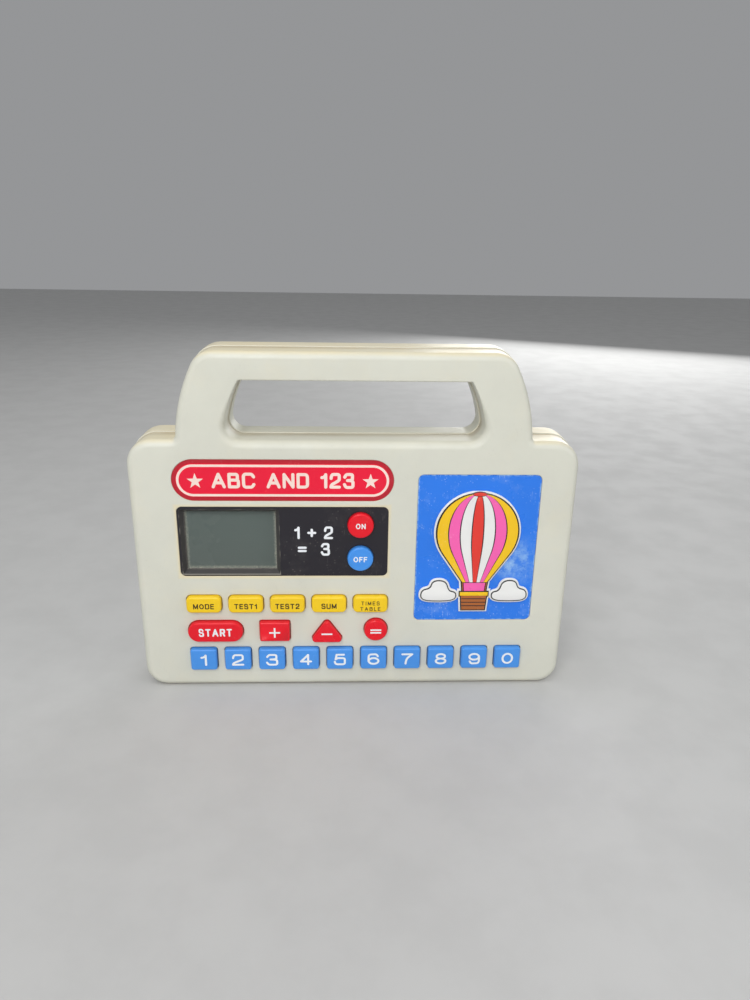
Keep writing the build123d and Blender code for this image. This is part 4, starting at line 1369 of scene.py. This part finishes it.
@dataclass
class Picture:
    """The blue picture sheet and its formed balloon, raised in layers: pale border, dark outline, colours."""

    slot: str = "printed_sheet"
    corner: float = 3.15 * MM
    corner_steps: int = 8
    sheet_thick: float = 0.4 * MM
    border_grow: float = 1.5
    outline_grow: float = 0.55
    border_height: float = 1.45
    outline_height: float = 1.7
    border_step: float = 0.012
    ink_drop: float = 0.14
    weave_thick: float = 0.5
    balloon_radius: float = 22.6
    balloon_z: float = 11.0
    mouth: Point = (7.0, -19.0)
    round_share: float = 0.72
    taper_turn: float = math.radians(125)
    gore_steps: int = 24
    crown_share: float = 0.05
    seam: float = 0.014
    gore_colours: tuple[Finish, ...] = (
        PRINT_YELLOW, PRINT_PINK, PRINT_WHITE, PRINT_RED, PRINT_WHITE, PRINT_PINK, PRINT_YELLOW
    )
    weave: tuple[float, ...] = (-29.2, -31.4, -33.6)

    def sheet(self) -> None:
        """The blue backing sheet."""
        low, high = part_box("picture_panel")
        width, height = high.x - low.x, high.z - low.z
        bm = bmesh.new()
        bmesh.ops.create_grid(bm, x_segments=1, y_segments=1, size=0.5)
        bmesh.ops.scale(bm, vec=(width, height, 1), verts=bm.verts)
        bmesh.ops.bevel(
            bm,
            geom=bm.verts[:],
            offset=self.corner,
            segments=self.corner_steps,
            affect="VERTICES",
            profile=0.5,
            material=-1,
            offset_type="OFFSET",
        )
        raised = bmesh.ops.extrude_face_region(bm, geom=bm.faces[:])
        tops = [v for v in raised["geom"] if isinstance(v, bmesh.types.BMVert)]
        bmesh.ops.translate(bm, vec=(0, 0, self.sheet_thick), verts=tops)
        bmesh.ops.recalc_face_normals(bm, faces=bm.faces)
        x, z = middle_of("picture_panel")
        bmesh.ops.transform(bm, matrix=on_front(x, high.y, z), verts=bm.verts)
        sheet = put(bm, "picture_sheet", [SHEET_BLUE], CASE)
        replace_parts(sheet, "picture_panel")

    def gore(self, turn: float, span: float) -> list[Point]:
        """One coloured strip of the balloon, between two meridians.

        Args:
            turn: the strip's first meridian, from -1 at the left to 1 at the right.
            span: how far the next meridian is.

        Returns:
            Its outline, as a closed run of points.
        """
        steps = [
            self.crown_share + (
                1 - self.crown_share
            ) * i / self.gore_steps for i in range(self.gore_steps + 1)
        ]
        meridian = lambda share, t: (share * self.half_width(t), self.level(t))
        down = [meridian(turn, t) for t in steps]
        up = [meridian(turn + span, t) for t in reversed(steps)]
        return down + up

    def level(self, t: float) -> float:
        """The height of the balloon's skin at t, from 0 at its top to 1 at its mouth."""
        top = self.balloon_z + self.balloon_radius
        round_part = self.balloon_radius * (1 - math.cos(min(t / self.round_share, 1.0) * self.taper_turn))
        taper = max(t - self.round_share, 0.0) / (1 - self.round_share)
        start = top - self.balloon_radius * (1 - math.cos(self.taper_turn))
        return (top - round_part) if taper == 0.0 else start + (self.mouth[1] - start) * taper

    def half_width(self, t: float) -> float:
        """Half the balloon's width at t."""
        if t <= self.round_share:
            return self.balloon_radius * math.sin(t / self.round_share * self.taper_turn)
        taper = (t - self.round_share) / (1 - self.round_share)
        start = self.balloon_radius * math.sin(self.taper_turn)
        return start + (self.mouth[0] - start) * taper

    def shapes(self) -> list[Cutout]:
        """Every formed shape, from the ground up, in millimetres about the panel's middle."""
        skin = self.gore(-1.0, 2.0)
        cloud = [
            (10.6, -30.2),
            (10.2, -25.6),
            (14.6, -25.0),
            (16.2, -18.6),
            (23.4, -18.4),
            (24.6, -23.4),
            (29.6, -24.2),
            (30.0, -30.2),
            (20.0, -30.8),
        ]
        rope = [(6.7, self.mouth[1] + 0.6), (7.3, self.mouth[1] + 0.6), (6.5, -26.6), (5.9, -26.6)]
        basket = [(-7.4, -26.0), (7.4, -26.0), (6.6, -36.4), (-6.6, -36.4)]
        rim = [(-8.0, -25.2), (8.0, -25.2), (8.0, -27.6), (-8.0, -27.6)]
        slack = [
            (-self.mouth[0], self.mouth[1] + 1.0),
            (self.mouth[0], self.mouth[1] + 1.0),
            (5.8, -26.0),
            (-5.8, -26.0),
        ]
        figure = [
            ("cloud", PRINT_WHITE, cloud, 0.30, True, False),
            ("shade", PRINT_PINK, slack, 0.10, False, True),
            ("rope", PRINT_BROWN, rope, 0.24, True, True),
            ("basket", PRINT_BROWN, basket, 0.34, False, True),
            ("basket_rim", PRINT_YELLOW, rim, 0.44, False, True),
            ("skin", PRINT_BLACK, skin, 0.40, False, True),
        ]
        made = []
        for order, (name, finish, points, rise, both, sharp) in enumerate(figure):
            top = self.outline_height + rise
            low = self.border_height + self.border_step * order
            ink = top - self.ink_drop
            made.append(Cutout(name + "_border", PRINT_WHITE, points, low, self.border_grow, 0.5, both, sharp))
            made.append(Cutout(name + "_outline", PRINT_BLACK, points, ink, self.outline_grow, 0.12, both, sharp))
            made.append(Cutout(name, finish, points, top, 0.0, 0.3, both, sharp))
        skin_height = self.outline_height + 0.40
        share = 2.0 / len(self.gore_colours)
        for i, finish in enumerate(self.gore_colours):
            outline = self.gore(-1.0 + i * share + self.seam, share - 2 * self.seam)
            made.append(Cutout(f"gore_{i}", finish, outline, skin_height + 0.12, soft=0.0, sharp=True))
        crown = ring_points(0.0, self.level(self.crown_share), 3.7, 1.1)
        made.append(Cutout("crown_outline", PRINT_BLACK, crown, skin_height + 0.14, grow=0.3, soft=0.04))
        made.append(Cutout("crown", PRINT_RED, crown, skin_height + 0.24, soft=0.08))
        for i, z in enumerate(self.weave):
            strip = [(-6.8, z), (6.8, z), (6.8, z - self.weave_thick), (-6.8, z - self.weave_thick)]
            height = self.outline_height + 0.40
            made.append(Cutout(f"basket_weave_{i}", PRINT_BLACK, strip, height, soft=0.04, sharp=True))
        return made

    def build(self) -> None:
        """Builds the sheet and the balloon and clouds on it."""
        self.sheet()
        x, z = middle_of("picture_panel")
        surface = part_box("picture_panel")[1].y - self.sheet_thick
        for cutout in self.shapes():
            bm = cutout.shape()
            bmesh.ops.transform(bm, matrix=on_front(x, surface, z), verts=bm.verts)
            put(bm, "picture_" + cutout.name, [cutout.finish], CASE)


@dataclass
class Workings:
    """What is inside the case, kept as the CAD made it and given its finishes."""

    finishes: dict[str, Finish] = field(
        default_factory=lambda: {
            "display_frame": DARK,
            "display_reflector": FOIL,
            "display_contacts": RUBBER,
            "circuit_board": BOARD,
            "key_mat": RUBBER,
            "power_mat": RUBBER,
            "processor_chip": DARK,
            "board_capacitors": SLEEVE,
            "board_resistors": RESISTOR,
            "buzzer_disc": BRASS,
            "buzzer_cup": DARK,
            "battery_cells": JACKET,
            "battery_springs": STEEL,
            "battery_contacts": STEEL,
            "battery_leads": WIRE,
            "buzzer_leads": WIRE,
            "board_screws": STEEL,
        }
    )

    def build(self) -> None:
        """Gives each inner piece its finish."""
        for node, finish in self.finishes.items():
            dress_node(node, finish)


# ---------------------------------------------------------------- surroundings


@dataclass
class Studio:
    """The floor, the lights and the camera."""

    floor_size: float = 6.0
    floor_colour: Colour = (0.56, 0.56, 0.55)
    camera_place: tuple[float, float, float] = (-0.00572, -0.39635, 0.25182)
    look_right: tuple[float, float, float] = (0.99917, -0.03745, 0.01571)
    look_up: tuple[float, float, float] = (-0.00221, 0.33612, 0.94182)
    lens: float = 27.0

    def floor(self) -> None:
        """A plain pale floor."""
        bm = bmesh.new()
        bmesh.ops.create_grid(bm, x_segments=1, y_segments=1, size=self.floor_size / 2)
        mesh = bpy.data.meshes.new("floor")
        bm.to_mesh(mesh)
        bm.free()
        mesh.materials.append(
            Finish("floor", self.floor_colour, smooth=0.7, rough=0.8, bump=0.0, scuffed=0.0).material()
        )
        floor = bpy.data.objects.new("floor", mesh)
        bpy.context.scene.collection.objects.link(floor)

    def light(
        self,
        name: str,
        place: Sequence[float],
        size: float,
        power: float,
        target: Sequence[float] = (0, 0, 0.09),
    ) -> None:
        """A square soft light that points at the toy."""
        lamp = bpy.data.lights.new(name, "AREA")
        lamp.size = size
        lamp.energy = power
        holder = bpy.data.objects.new(name, lamp)
        holder.location = place
        aim = Vector(target) - Vector(place)
        holder.rotation_euler = aim.to_track_quat("-Z", "Y").to_euler()
        bpy.context.scene.collection.objects.link(holder)

    def camera(self) -> None:
        """The camera, above the toy and a little left of its middle."""
        right = Vector(self.look_right).normalized()
        up = Vector(self.look_up).normalized()
        back = right.cross(up)
        turn = Matrix((right, up, back)).transposed().to_4x4()
        lens = bpy.data.cameras.new("camera")
        lens.lens = self.lens
        lens.sensor_width = 36.0
        lens.clip_start = 0.01
        holder = bpy.data.objects.new("camera", lens)
        holder.matrix_world = Matrix.Translation(self.camera_place) @ turn
        bpy.context.scene.collection.objects.link(holder)
        bpy.context.scene.camera = holder

    def build(self) -> None:
        """Sets up everything round the toy."""
        self.floor()
        self.light("top_light", (-0.25, -0.30, 1.25), 0.8, 3.6)
        self.light("front_light", (-0.25, -1.15, 0.85), 0.9, 12.0)
        self.light("side_light", (1.1, -0.6, 0.6), 0.7, 2.5)
        self.light("rear_light", (0.6, 1.3, 0.5), 0.8, 7.0)
        world = bpy.data.worlds.new("pale_room")
        world.use_nodes = True
        world.node_tree.nodes["Background"].inputs["Color"].default_value = (0.75, 0.76, 0.78, 1.0)
        world.node_tree.nodes["Background"].inputs["Strength"].default_value = 0.40
        bpy.context.scene.world = world
        bpy.context.scene.view_settings.view_transform = "Standard"
        self.camera()


def main() -> None:
    """Builds the whole toy and its surroundings."""
    logging.basicConfig(level=logging.INFO, format="%(name)s %(message)s")
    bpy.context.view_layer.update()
    for part in (Studio(), Casing(), TitlePlate(), Display(), Keyboard(), Picture(), Workings()):
        log.info("building %s", type(part).__name__)
        part.build()
    bpy.context.view_layer.update()


if __name__ == "__main__":
    main()
